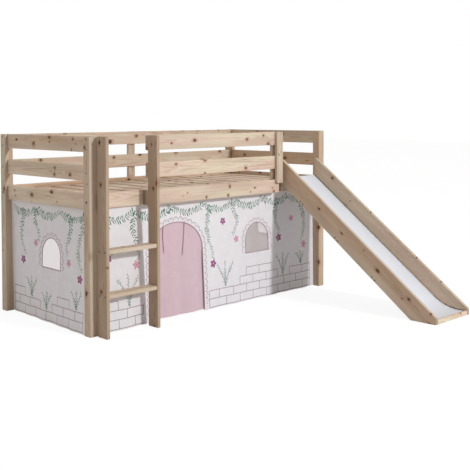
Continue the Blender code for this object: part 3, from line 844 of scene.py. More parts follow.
@dataclass
class Cut:
    """A flat piece of cloth: its corners, its triangles and the ink on each."""

    points: np.ndarray
    faces: np.ndarray
    inks: np.ndarray

    @classmethod
    def make(
        cls,
        outline: Sequence[Point2],
        holes: Sequence[Sequence[Point2]] = (),
        print_areas: Sequence[tuple[Ink, Sequence[Point2]]] = (),
        grid: Point2 = CLOTH_GRID,
    ) -> "Cut":
        """Cut cloth to an outline, with openings, and lay the print into its triangles.

        Args:
            outline: The outer edge.
            holes: The edges of the openings.
            print_areas: Closed areas of ink, the later ones over the earlier.
            grid: The spacing of the points that let the cloth bend.

        Returns:
            The cut.
        """
        loops = [leftward(loop) for loop in (outline, *holes, *[area for _, area in print_areas])]
        coords, faces = [], []
        for loop in loops:
            start = len(coords)
            coords += [Vector(p) for p in loop]
            faces.append(list(range(start, len(coords))))
        low, high = np.min(np.array(outline), axis=0), np.max(np.array(outline), axis=0)
        across, up = (
            np.linspace(low[i], high[i], max(2, round((high[i] - low[i]) / grid[i]))) for i in range(2)
        )
        for row, z in enumerate(up[1:-1]):
            shift = (across[1] - across[0]) / 2 if row % 2 else 0.0
            coords += [Vector((x + shift, z)) for x in across[1:-1]]
        points, _, triangles, _, _, sources = delaunay_2d_cdt(coords, [], faces, 1, 0.01 * MM)
        kept, inks = [], []
        first_ink = 1 + len(holes)
        for triangle, source in zip(triangles, sources):
            if 0 not in source or any(0 < s < first_ink for s in source):
                continue
            top = max(source)
            ink = Ink.GROUND if top < first_ink else print_areas[top - first_ink][0]
            kept.append(triangle)
            inks.append(list(Ink).index(ink))
        return cls(*cls._tidy(np.array([tuple(p) for p in points]), np.array(kept)), np.array(inks))

    @classmethod
    def _tidy(cls, points: np.ndarray, faces: np.ndarray) -> tuple[np.ndarray, np.ndarray]:
        """Drop the corners that no triangle uses, and turn every triangle the same way.

        Args:
            points: The corners.
            faces: The triangles.

        Returns:
            The corners that are left, and the triangles with their new numbers.
        """
        turned = cls._doubles(points, faces) < 0
        faces[turned] = faces[turned][:, ::-1]
        used, numbers = np.unique(faces, return_inverse=True)
        return points[used], numbers.reshape(faces.shape)

    @staticmethod
    def _doubles(points: np.ndarray, faces: np.ndarray) -> np.ndarray:
        """Twice the area of each triangle, negative where it runs clockwise."""
        a, b, c = (points[faces[:, i]] for i in range(3))
        return (b[:, 0] - a[:, 0]) * (c[:, 1] - a[:, 1]) - (b[:, 1] - a[:, 1]) * (c[:, 0] - a[:, 0])

    def area(self) -> float:
        """The cut's flat area in square metres."""
        return float(np.abs(self._doubles(self.points, self.faces)).sum() / 2)

    def hang(
        self,
        name: str,
        fall: Fall,
        near: float | np.ndarray,
        far: float | np.ndarray,
        finishes: Sequence[Material],
    ) -> Piece:
        """Hang the cut as closed cloth between two depths.

        Args:
            name: The piece's name.
            fall: The panel that it follows.
            near: The depth of its face.
            far: The depth of its reverse.
            finishes: Its materials, the last of them for its reverse.

        Returns:
            The piece.
        """
        x, z = self.points[:, 0], self.points[:, 1]
        count = len(x)
        points = np.vstack([fall.place(x, z, near), fall.place(x, z, far)])
        edges = np.concatenate([self.faces[:, [0, 1]], self.faces[:, [1, 2]], self.faces[:, [2, 0]]])
        seen = {tuple(e) for e in edges.tolist()}
        rim = [(a, b) for a, b in seen if (b, a) not in seen]
        walls = [(b, a, a + count, b + count) for a, b in sorted(rim)]
        reverse = self.faces[:, ::-1] + count
        faces = [*self.faces.tolist(), *reverse.tolist(), *walls]
        last = len(finishes) - 1
        indices = [*np.minimum(self.inks, last).tolist(), *[last] * (len(reverse) + len(walls))]
        flat = np.vstack([self.points, self.points])
        return add_mesh(name, points, faces, finishes, indices, flat, CLOTH_CREASE)


def sweep(
    name: str,
    fall: Fall,
    path: Sequence[Point2],
    section: Sequence[Point2],
    finish: Material,
    closed: bool = False,
) -> Piece:
    """Run a cross-section along a path on the cloth.

    Args:
        name: The piece's name.
        fall: The panel that it follows.
        path: Points across and up.
        section: Points of the cross-section: out to the path's right, and in depth.
        finish: Its material.
        closed: Whether the path ends where it starts.

    Returns:
        The piece.
    """
    line = np.array(path)
    steps = np.roll(line, -1, axis=0) - line
    if closed:
        into, out = np.roll(steps, 1, axis=0), steps
    else:
        into, out = np.vstack([steps[:1], steps[:-1]]), np.vstack([steps[:-1], steps[-2:-1]])
    into = into / np.linalg.norm(into, axis=1)[:, None]
    out = out / np.linalg.norm(out, axis=1)[:, None]
    mean = into + out
    mean /= np.linalg.norm(mean, axis=1)[:, None]
    normal = np.column_stack([mean[:, 1], -mean[:, 0]])
    # A mitre keeps the band's width round a corner.
    stretch = 1 / np.clip((mean * out).sum(axis=1), 0.5, 1)
    rings, flats = [], []
    for offset, depth in section:
        flat = line + normal * (offset * stretch)[:, None]
        flats.append(flat)
        rings.append(fall.place(flat[:, 0], flat[:, 1], depth))
    points = np.stack(rings, axis=1).reshape(-1, 3)
    flat = np.stack(flats, axis=1).reshape(-1, 2)
    sides = len(section)
    faces = []
    spans = len(line) if closed else len(line) - 1
    for i in range(spans):
        a, b = i * sides, (i + 1) % len(line) * sides
        for s in range(sides):
            t = (s + 1) % sides
            faces.append((a + s, b + s, b + t, a + t))
    if not closed:
        faces.append(tuple(range(sides)))
        faces.append(tuple(reversed([spans * sides + s for s in range(sides)])))
    return add_mesh(name, points, faces, [finish], None, flat, CLOTH_CREASE)


@dataclass(frozen=True)
class Stitching:
    """A lockstitch row: thread that dips into the cloth between one stitch and the next."""

    length: float = 3.0 * MM
    gap: float = 1.5 * MM
    width: float = 0.8 * MM
    proud: float = 0.45 * MM
    sunk: float = 0.15 * MM
    # A stitch swells from half its width to all of it over this share of its length.
    swell: float = 0.18

    def sew(
        self, name: str, fall: Fall, rows: Sequence[Sequence[Point2]], depth: float, finish: Material
    ) -> Piece:
        """Sew along rows on the cloth's face.

        Args:
            name: The piece's name.
            fall: The panel that it follows.
            rows: The lines to sew along.
            depth: The depth of the cloth's face.
            finish: The thread's material.

        Returns:
            All the stitches as one piece.
        """
        flats, depths, faces = [], [], []
        for row in rows:
            for start, end in self._stitches(np.array(row)):
                along = (end - start) / np.linalg.norm(end - start)
                side = np.array([along[1], -along[0]]) * self.width / 2
                inset = along * self.length * self.swell
                base = len(flats)
                flats += [start - side * 0.5, start + side * 0.5, end + side * 0.5, end - side * 0.5]
                flats += [start + inset - side, start + inset + side, end - inset + side, end - inset - side]
                flats += [start + inset * 1.6, end - inset * 1.6]
                depths += [depth + self.sunk] * 4 + [depth] * 4 + [depth - self.proud] * 2
                faces += self._shape(base)
        flat = np.array(flats)
        points = fall.place(flat[:, 0], flat[:, 1], np.array(depths))
        return add_mesh(name, points, faces, [finish], None, flat, THREAD_CREASE)

    def _stitches(self, row: np.ndarray) -> Iterable[tuple[np.ndarray, np.ndarray]]:
        """Space stitches along a row.

        Args:
            row: The line to sew along.

        Yields:
            The two ends of each stitch.
        """
        run = lengths(row)
        pitch = self.length + self.gap
        for i in range(int(run[-1] / pitch)):
            ends = np.array([i * pitch, i * pitch + self.length])
            x, z = (np.interp(ends, run, row[:, k]) for k in range(2))
            yield np.array([x[0], z[0]]), np.array([x[1], z[1]])

    @staticmethod
    def _shape(base: int) -> list[tuple[int, ...]]:
        """List the faces of one stitch, a closed pod with its ends drawn in.

        Args:
            base: The number of the stitch's first corner.

        Returns:
            The corner numbers of each face.
        """
        pod = [(0, 1, 2, 3), (0, 4, 5, 1), (1, 5, 6, 2), (2, 6, 7, 3), (3, 7, 4, 0)]
        pod += [(4, 8, 5), (5, 8, 9, 6), (6, 9, 7), (7, 9, 8, 4)]
        return [tuple(base + corner for corner in face) for face in pod]


@dataclass(frozen=True)
class Foliage:
    """How leaves stand along a stem."""

    leaf: float
    pitch: float
    spread: float
    taper: float = 0.0


@dataclass
class GardenPrint:
    """A plain printed pattern: leafy swags and drops, five-petal flowers and block coursing."""

    width: float
    openings: tuple[Arch, ...]
    swag_nodes: tuple[float, ...]
    drops: tuple[Point2, ...]
    courses: tuple[tuple[int, float, float], ...]
    flowers: tuple[tuple[float, float, float, Ink], ...]
    sprigs: tuple[Point3, ...]
    seed: int
    margin: float = 0.024
    levels: Point2 = (0.006, 0.728)
    clearance: float = 0.038
    block: Point2 = (0.130, 0.054)
    course_foot: float = 0.012
    joint: float = 3.6 * MM
    swag_top: float = 0.690
    drop_top: float = 0.685
    sag: float = 0.17
    sway: float = 0.022
    sprig_lean: float = 0.42
    stem: float = 1.8 * MM
    swag_leaves: Foliage = Foliage(30 * MM, 8.6 * MM, 1.15)
    drop_leaves: Foliage = Foliage(33 * MM, 9.2 * MM, 1.0, 0.5)
    sprig_leaves: Foliage = Foliage(17 * MM, 9.5 * MM, 0.75)
    leaf_shape: tuple[Point2, ...] = (
        (0, 0), (0.22, 0.10), (0.5, 0.14), (0.78, 0.10), (1, 0), (0.78, -0.09), (0.5, -0.13), (0.22, -0.09),
    )
    # Scallops stand off the opening's edge, at this pitch and height, each round a dot.
    scallop_lap: float = 0.012
    scallop_pitch: float = 0.040
    scallop_height: float = 0.022
    scallop_line: float = 3.4 * MM
    scallop_clearance: float = 0.004
    dot_lift: float = 0.009
    dot_radius: float = 3.6 * MM
    areas: list[tuple[Ink, list[Point2]]] = field(default_factory=list)

    def __post_init__(self) -> None:
        """Start the pattern's own row of random draws."""
        self.random = np.random.default_rng(self.seed)

    def draw(self) -> list[tuple[Ink, list[Point2]]]:
        """Lay the whole pattern out.

        Returns:
            Closed areas of ink.
        """
        for course, left, right in self.courses:
            self._coursing(course, left, right)
        for opening in self.openings:
            self._scallops(opening)
        for left, right in zip(self.swag_nodes, self.swag_nodes[1:]):
            self._swag(left, right)
        for x, length in self.drops:
            self._drop(x, length)
        for x, z, height in self.sprigs:
            self._sprig(x, z, height)
        for x, z, size, ink in self.flowers:
            self._flower(x, z, size, ink)
        return self.areas

    def _free(self, points: Sequence[Point2], gap: float) -> bool:
        """Look whether an area stays inside the margins and off the openings.

        Args:
            points: The area's outline.
            gap: How far it stays off the openings.

        Returns:
            Whether the cloth has room for it.
        """
        for x, z in points:
            if not (self.margin < x < self.width - self.margin and self.levels[0] < z < self.levels[1]):
                return False
            for opening in self.openings:
                wide = opening.wider(gap, opening.sill - gap)
                if abs(x - wide.centre) < wide.foot_half and wide.sill < z:
                    across = min(1.0, abs(x - wide.centre) / wide.half)
                    if z < wide.spring + (wide.crown - wide.spring) * math.sqrt(1 - across * across):
                        return False
        return True

    def _put(self, ink: Ink, points: Sequence[Point2], gap: float | None = None) -> None:
        """Keep an area of ink where the cloth has room for it, off the openings by the gap."""
        if self._free(points, self.clearance if gap is None else gap):
            self.areas.append((ink, [tuple(map(float, p)) for p in points]))

    def _stroke(self, path: Sequence[Point2], width: float, ink: Ink, gap: float | None = None) -> None:
        """Draw a line along a path, thinning to both ends.

        Args:
            path: The path.
            width: The line's width at its middle.
            ink: Its colour.
            gap: How far it stays off the openings, where that isn't the usual clearance.
        """
        line = np.array(path)
        step = np.gradient(line, axis=0)
        step /= np.linalg.norm(step, axis=1)[:, None]
        side = np.column_stack([-step[:, 1], step[:, 0]])
        share = np.linspace(0, 1, len(line))
        half = width / 2 * (0.55 + 0.45 * np.sin(np.pi * share))[:, None]
        self._put(ink, [*(line + side * half).tolist(), *(line - side * half)[::-1].tolist()], gap)

    def _leaf(self, root: np.ndarray, angle: float, length: float, ink: Ink) -> None:
        """Draw one pointed leaf from its root on the stem, at an angle."""
        c, s = length * math.cos(angle), length * math.sin(angle)
        self._put(ink, [(root[0] + a * c - b * s, root[1] + a * s + b * c) for a, b in self.leaf_shape])

    def _leafy(self, path: np.ndarray, foliage: Foliage) -> None:
        """Draw a stem along a path, with leaves on both sides.

        Args:
            path: The path.
            foliage: How its leaves stand.
        """
        self._stroke(path.tolist(), self.stem, Ink.FERN)
        run = lengths(path)
        for i in range(int(run[-1] / foliage.pitch)):
            at = (i + 0.5) * foliage.pitch
            root, ahead = (
                np.array([np.interp(place, run, path[:, k]) for k in range(2)]) for place in (at, at + 4 * MM)
            )
            heading = math.atan2(*(ahead - root)[::-1])
            size = foliage.leaf * self.random.uniform(0.6, 1.2)
            size *= 1 - foliage.taper * i * foliage.pitch / run[-1]
            turn = foliage.spread * self.random.uniform(0.75, 1.2)
            ink = Ink.SAGE if self.random.random() < 0.68 else Ink.FERN
            self._leaf(root, heading + (turn if i % 2 else -turn), size, ink)

    def _scallops(self, opening: Arch) -> None:
        """Edge an opening with a row of scallops, each with a dot in it.

        Args:
            opening: The opening.
        """
        line = np.array(opening.wider(self.scallop_lap, opening.sill).rim())
        run = lengths(line)
        marks = np.linspace(0, run[-1], round(run[-1] / self.scallop_pitch) + 1)
        ends = np.array([[np.interp(at, run, line[:, k]) for k in range(2)] for at in marks])
        share = np.linspace(0, np.pi, 11)
        turns = np.linspace(0, 2 * np.pi, 9)[:-1]
        for a, b in zip(ends, ends[1:]):
            out = np.array([b[1] - a[1], a[0] - b[0]]) / np.linalg.norm(b - a)
            middle, half = (a + b) / 2, (b - a) / 2
            rise = np.outer(np.sin(share), out * self.scallop_height)
            arc = middle - np.outer(np.cos(share), half) + rise
            self._stroke(arc.tolist(), self.scallop_line, Ink.LINE, self.scallop_clearance)
            x, z = middle + out * self.dot_lift
            dot = [(x + self.dot_radius * math.cos(t), z + self.dot_radius * math.sin(t)) for t in turns]
            self._put(Ink.ROSE, dot, self.scallop_clearance)

    def _swag(self, left: float, right: float) -> None:
        """Hang a leafy swag between two points of the heading.

        Args:
            left: Where it starts.
            right: Where it ends.
        """
        share = np.linspace(0, 1, 30)
        sag = self.sag * (right - left)
        z = self.swag_top - sag * (1 - (2 * share - 1) ** 2) ** 0.8
        self._leafy(np.column_stack([left + (right - left) * share, z]), self.swag_leaves)

    def _drop(self, x: float, length: float) -> None:
        """Let a leafy tail fall from the heading.

        Args:
            x: Where it hangs.
            length: How long it is.
        """
        share = np.linspace(0, 1, 26)
        sway = self.sway * np.sin(share * 6.2 + x * 9) * (0.4 + share)
        self._leafy(np.column_stack([x + sway, self.drop_top - length * share]), self.drop_leaves)

    def _sprig(self, x: float, z: float, height: float) -> None:
        """Stand three leafy stems up from the ground line, the outer two leaning away.

        Args:
            x: Where they stand.
            z: The height of their feet.
            height: How tall they are.
        """
        share = np.linspace(0, 1, 14)
        for lean in (-self.sprig_lean, 0.0, self.sprig_lean):
            rise = height * (1 - 0.25 * abs(lean)) * share
            self._leafy(np.column_stack([x + height * lean * share**1.6, z + rise]), self.sprig_leaves)

    def _flower(self, x: float, z: float, size: float, ink: Ink) -> None:
        """Draw a flower of five round petals about a dot.

        Args:
            x: Where its middle lies across.
            z: Its middle's height.
            size: Its petals' reach.
            ink: Their colour.
        """
        first = self.random.uniform(0, 2 * math.pi)
        for petal in range(5):
            angle = first + petal * 2 * math.pi / 5
            c, s = math.cos(angle), math.sin(angle)
            points = []
            for step in range(12):
                turn = 2 * math.pi * step / 12
                a, b = size * (0.30 + 0.22 * math.cos(turn)), size * 0.17 * math.sin(turn)
                points.append((x + a * c - b * s, z + a * s + b * c))
            self._put(ink, points)
        turns = [2 * math.pi * step / 10 for step in range(10)]
        middle = Ink.ROSE if ink is Ink.PLUM else Ink.PLUM
        self._put(middle, [(x + size * 0.085 * math.cos(t), z + size * 0.085 * math.sin(t)) for t in turns])

    def _coursing(self, course: int, left: float, right: float) -> None:
        """Draw one run of blocks: its joints below and above, its upright joints and its ends.

        Args:
            course: Which course it is, from the foot.
            left: Where it starts, in blocks from the margin.
            right: Where it ends.
        """
        length, height = self.block
        half = self.joint / 2
        low = self.course_foot + course * height
        first = self.margin + 0.002
        start, end = (first + side * length for side in (left, right))
        bars = []
        for z in (low, low + height):
            cells = np.linspace(start, end, max(2, round((right - left) * 4) + 1))
            bars += [(a, b, z - half, z + half) for a, b in zip(cells, cells[1:])]
        shift = 0.5 if course % 2 else 0.0
        joints = [k + shift for k in range(-1, 40) if left + 0.3 < k + shift < right - 0.3]
        for joint in (left, *joints, right):
            x = first + joint * length
            bars.append((x - half, x + half, low, low + height))
        for a, b, foot, top in bars:
            self._put(Ink.LINE, [(a, foot), (b, foot), (b, top), (a, top)])


@dataclass(frozen=True)
class Wardrobe:
    """The cloth finishes, made once and shared by the panels."""

    canvas: list[Material]
    door: Material
    tape: Material
    ribbon: Material
    voile: Material
    thread: Material

    @classmethod
    def make(cls) -> "Wardrobe":
        """Make every cloth finish.

        Returns:
            The finishes.
        """
        cotton = WovenCotton()
        return cls(
            # Canvas, bleached and printed: flat inks on a warm white, on a weave that shows.
            canvas=[cotton.dress(f"printed_canvas_{ink.name.lower()}", ink.value) for ink in Ink],
            # Plain cotton, dyed in the piece: an even dusty pink with a soft nap.
            door=cotton.dress("pink_cotton", "DEC2C9", sheen=0.2),
            # Tape cut on the bias and folded: a fine mauve line round each opening.
            tape=cotton.dress("bias_tape", "B3949F", 0.9 * MM),
            # Ribbon woven in close ribs: a narrow band with a little sheen.
            ribbon=cotton.dress("grosgrain_ribbon", "BB8E99", 1.1 * MM, 0.3),
            # Voile of fine twisted threads: a milky veil with the room behind it.
            voile=cotton.sheer("cotton_voile", "EFE6E6", 0.9 * MM, Ramp(0.3, 0.8, 0.10, 0.32)),
            # Polyester thread, smooth and spun tight: pale dashes that stand off the cloth.
            thread=cotton.dress("polyester_thread", "E4DEDC", 0.4 * MM),
        )


def spread(low: float, high: float) -> np.ndarray:
    """Evenly spaced places along a line to sew."""
    return np.linspace(low, high, max(2, round((high - low) / SEAM_STEP)))


def fold_row(left: float, right: float, z: float) -> list[Point2]:
    """A level line to sew along."""
    return [(float(x), z) for x in spread(left, right)]


def side_row(x: float, foot: float, top: float) -> list[Point2]:
    """An upright line to sew along."""
    return [(x, float(z)) for z in spread(foot, top)]


def divided(points: Sequence[Point2], step: float = CUT_STEP) -> list[Point2]:
    """Put points into the long sides of a closed outline.

    Args:
        points: The outline.
        step: The longest side that stays whole.

    Returns:
        The same outline with more points.
    """
    found = []
    for a, b in zip(points, [*points[1:], points[0]]):
        parts = max(1, math.ceil(math.dist(a, b) / step - 1e-6))
        found += [(a[0] + (b[0] - a[0]) * i / parts, a[1] + (b[1] - a[1]) * i / parts) for i in range(parts)]
    return found


@dataclass
class CurtainPanel:
    """A printed curtain: its cloth, hems, stitches, bindings and window panes."""

    node: str
    fall: Fall
    window: Arch
    pattern: GardenPrint
    wardrobe: Wardrobe
    doorway: Arch | None = None
    hem: float = 0.025
    side_hem: float = 0.020
    heading: float = 0.030
    stitch_inset: float = 2.5 * MM
    binding: float = 4.5 * MM
    tape_lap: float = 1.2 * MM
    tape_thickness: float = 0.35 * MM
    pane_lap: float = 0.015
    pane_hem_lap: float = 2.0 * MM
    pane_hem: Point2 = (LINING_NEAR + 0.4 * MM, LINING_NEAR + 0.9 * MM)

    def build(self) -> Piece:
        """Cut, print, hang and finish the panel.

        Returns:
            The cloth, which its trimmings ride along with.
        """
        cut = Cut.make(divided(self._outline()), [divided(self.window.rim())], self.pattern.draw())
        name = self.node
        cloth = cut.hang(f"{name}_cloth", self.fall, CLOTH_NEAR, CLOTH_FAR, self.wardrobe.canvas)
        trimmings = [*self._hems(), *self._bindings(), self._stitches()]
        for piece in (cloth, *trimmings):
            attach(piece, BED)
        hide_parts(name)
        cut.area()
        self._pane()
        LOG.info("%s: %d areas of print on %d triangles", name, len(self.pattern.areas), len(cut.faces))
        return cloth

    def _outline(self) -> list[Point2]:
        """Walk the cut's outer edge, round the doorway where there is one.

        Returns:
            Points across and up.
        """
        low, high, width = self.fall.foot, self.fall.top, self.fall.width
        notch = self.doorway.rim()[::-1] if self.doorway else []
        return [(0.0, low), *notch, (width, low), (width, high), (0.0, high)]

    def _feet(self, beside: float = 0.0) -> list[Point2]:
        """Find the stretches of the bottom edge.

        Args:
            beside: How far they stay off the doorway.

        Returns:
            Where each one starts and ends.
        """
        if not self.doorway:
            return [(0.0, self.fall.width)]
        half = self.doorway.foot_half + beside
        return [(0.0, self.doorway.centre - half), (self.doorway.centre + half, self.fall.width)]

    def _hems(self) -> list[Piece]:
        """Turn the edges under: a second layer behind the cloth.

        Returns:
            One piece for each edge.
        """
        low, high, width = self.fall.foot, self.fall.top, self.fall.width
        strips = {f"hem_{i}": (a, b, low, low + self.hem) for i, (a, b) in enumerate(self._feet())}
        strips["side_left"] = (0.0, self.side_hem, low + self.hem, high - self.heading)
        strips["side_right"] = (width - self.side_hem, width, low + self.hem, high - self.heading)
        strips["heading"] = (0.0, width, high - self.heading, high)
        pieces = []
        for label, (a, b, foot, top) in strips.items():
            cut = Cut.make(divided([(a, foot), (b, foot), (b, top), (a, top)]))
            reverse = self.wardrobe.canvas[-1:]
            pieces.append(cut.hang(f"{self.node}_{label}", self.fall, CLOTH_FAR, HEM_FAR, reverse))
        return pieces

    def _bindings(self) -> list[Piece]:
        """Bind the openings with folded tape, which wraps the cut edge front and back.

        Returns:
            One band for each opening.
        """
        near, far = CLOTH_NEAR - self.tape_thickness, CLOTH_FAR + self.tape_thickness
        wrap = [
            (-self.tape_lap, near),
            (self.binding, near),
            (self.binding, CLOTH_NEAR),
            (0.0, CLOTH_NEAR),
            (0.0, CLOTH_FAR),
            (self.binding, CLOTH_FAR),
            (self.binding, far),
            (-self.tape_lap, far),
        ]
        name, tape = self.node, self.wardrobe.tape
        rim = divided(self.window.rim())
        bands = [sweep(f"{name}_window_tape", self.fall, rim, wrap, tape, closed=True)]
        if self.doorway:
            bands.append(sweep(f"{name}_doorway_tape", self.fall, self.doorway.rim(), wrap, tape))
        return bands

    def _stitches(self) -> Piece:
        """Sew the hems down.

        Returns:
            All the stitches as one piece.
        """
        low, high, width, inset = self.fall.foot, self.fall.top, self.fall.width, self.stitch_inset
        side = self.side_hem - inset
        rows = [side_row(side, low, high), side_row(width - side, low, high)]
        rows += [fold_row(a, b, low + self.hem - inset) for a, b in self._feet(self.binding)]
        rows.append(fold_row(0.0, width, high - self.heading + inset))
        return Stitching().sew(f"{self.node}_stitches", self.fall, rows, CLOTH_NEAR, self.wardrobe.thread)

    def _pane(self) -> None:
        """Set the sheer pane behind the window."""
        voile = [self.wardrobe.voile]
        edge = self.window.wider(self.pane_lap, self.window.sill - self.pane_lap)
        inner = self.window.wider(self.pane_hem_lap, self.window.sill - self.pane_hem_lap)
        cut = Cut.make(divided(edge.rim()))
        pane = cut.hang(f"{self.node}_voile", self.fall, LINING_NEAR, LINING_FAR, voile)
        rim = Cut.make(divided(edge.rim()), [divided(inner.rim())])
        fold = rim.hang(f"{self.node}_voile_hem", self.fall, *self.pane_hem, voile)
        for piece in (pane, fold):
            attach(piece, BED)
        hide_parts(self.node.replace("curtain", "window_pane"))
        cut.area()


def eased(share: np.ndarray) -> np.ndarray:
    """A share from 0 to 1, made to start and end gently."""
    return share * share * (3 - 2 * share)


@dataclass
class DoorFlap:
    """The plain cotton flap that closes the doorway from behind."""

    wardrobe: Wardrobe
    lap: float = 0.015
    sill: float = 0.010
    thickness: float = 1.0 * MM
    hem: float = 0.018
    hem_thickness: float = 0.8 * MM
    # The depth of the folds, the pitch of the broad and the narrow ones, and how far in from
    # the doorway's sides and down from its top they come in.
    fold_depth: float = 4.5 * MM
    fold_pitches: Point2 = (0.19, 0.083)
    fold_ease: Point2 = (0.05, 0.35)
    hang_back: float = 7.5 * MM

    def build(self) -> Piece:
        """Cut, hang and hem the flap.

        Returns:
            The flap.
        """
        edge = DOORWAY.wider(self.lap, self.sill)
        inner = DOORWAY.wider(self.lap - self.hem, self.sill + self.hem)
        outline, cotton = divided(edge.rim()), [self.wardrobe.door]
        cut = Cut.make(outline, grid=FLAP_GRID)
        near = self._depth(cut.points, edge)
        flap = cut.hang("door_flap_cloth", FRONT_FALL, near, near + self.thickness, cotton)
        border = Cut.make(outline, [divided(inner.rim())], grid=FLAP_GRID)
        behind = self._depth(border.points, edge) + self.thickness
        hem = border.hang("door_flap_hem", FRONT_FALL, behind, behind + self.hem_thickness, cotton)
        for piece in (flap, hem):
            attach(piece, DOOR)
        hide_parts("door_flap")
        cut.area()
        LOG.info("door flap: %d triangles", len(cut.faces))
        return flap

    def _depth(self, points: np.ndarray, edge: Arch) -> np.ndarray:
        """Work out how far back the flap lies, with soft folds that die out at the doorway.

        Args:
            points: Places on the flap.
            edge: The flap's own edge.

        Returns:
            The depth of its face at each place.
        """
        x, z = points[:, 0] - edge.centre, points[:, 1]
        rise = np.clip((z - edge.spring) / (edge.crown - edge.spring), 0, 1)
        half = edge.half * np.sqrt(np.clip(1 - rise**2, 0, 1))
        beside, below_top = self.fold_ease
        room = eased(np.clip((half - self.lap - np.abs(x)) / beside, 0, 1))
        room = room * np.clip((edge.crown - z) / below_top, 0, 1)
        broad, narrow = (2 * np.pi * x / pitch for pitch in self.fold_pitches)
        # Both kinds of fold lean a little as they fall.
        fold = 0.5 + 0.34 * np.sin(broad + 1.1 + 2.6 * z) + 0.14 * np.sin(narrow + 4.0 * z)
        # The cloth leans back into the play space towards its lower right corner.
        aside = eased(np.clip((x / edge.half - 0.35) / 0.6, 0, 1))
        below = eased(np.clip((edge.spring + 0.04 - z) / 0.16, 0, 1))
        return LINING_FAR + self.fold_depth * room * np.clip(fold, 0, 1) + self.hang_back * aside * below


@dataclass
class RibbonTies:
    """The two ribbons that hang from the doorway's arch, to tie the rolled flap up."""

    wardrobe: Wardrobe
    width: float = 4.6 * MM
    thickness: float = 0.5 * MM
    rounding: float = 0.15 * MM
    near: float = -1.6 * MM
    # Each ribbon's top and foot on the panel, and how far it bows aside between them.
    runs: dict[str, tuple[Point2, Point2, float]] = field(default_factory=lambda: {
        "door_tie_left": ((0.5321, 0.580), (0.5349, 0.410), -0.006),
        "door_tie_right": ((0.708, 0.5908), (0.6811, 0.381), 0.003),
    })

    def build(self) -> list[Piece]:
        """Hang both ribbons.

        Returns:
            The ribbons.
        """
        ribbons = []
        for node, (top, foot, bow) in self.runs.items():
            share = np.linspace(0, 1, 40)
            x = top[0] + (foot[0] - top[0]) * share + bow * np.sin(np.pi * share) * (1 - 0.4 * share)
            z = top[1] + (foot[1] - top[1]) * share
            path = list(zip(x.tolist(), z.tolist()))
            ribbon = sweep(f"{node}_ribbon", FRONT_FALL, path, self._section(), self.wardrobe.ribbon)
            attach(ribbon, BED)
            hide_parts(node)
            LOG.info("%s: %.3f m of ribbon", node, lengths(np.array(path))[-1])
            ribbons.append(ribbon)
        return ribbons

    def _section(self) -> list[Point2]:
        """Draw the ribbon's cross-section, a flat band with its near corners rounded over.

        Returns:
            Points beside the path and in depth, in order round the band.
        """
        half, far, shoulder = self.width / 2, self.near + self.thickness, self.near + self.rounding
        inner = half - self.rounding
        left = [(-half, far), (-half, shoulder), (-inner, self.near)]
        return left + [(-x, depth) for x, depth in reversed(left)]


@dataclass(frozen=True)
class SocketHead:
    """A fastener's low domed head with a hexagon socket."""

    radius: float
    proud: float
    segments: int = 24
    sunk: float = 0.3 * MM
    socket: float = 0.36
    socket_floor: float = 0.25
    # The dome's rings: each one's share of the radius and of the height.
    dome: tuple[Point2, ...] = ((1.0, 0.45), (0.93, 0.75), (0.74, 0.95), (0.52, 1.0))

    def rings(self) -> list[np.ndarray]:
        """Draw the head's rings, from its foot in the wood over the dome into the socket.

        Returns:
            The points of each ring.
        """
        turn = 2 * np.pi * np.arange(self.segments) / self.segments
        circle = np.column_stack([np.cos(turn), np.sin(turn)])
        flat_side = (turn % (np.pi / 3)) - np.pi / 6
        hexagon = circle * (self.socket * self.radius / np.cos(flat_side))[:, None]
        steps = [(circle * self.radius, -self.sunk)]
        steps += [(circle * self.radius * share, rise * self.proud) for share, rise in self.dome]
        steps += [(hexagon, self.proud), (hexagon, self.socket_floor * self.proud)]
        return [np.column_stack([ring, np.full(self.segments, height)]) for ring, height in steps]


# Which way the outer faces of the left and of the right side look.
OUTWARD = ((-1.0, 0.0, 0.0), (1.0, 0.0, 0.0))


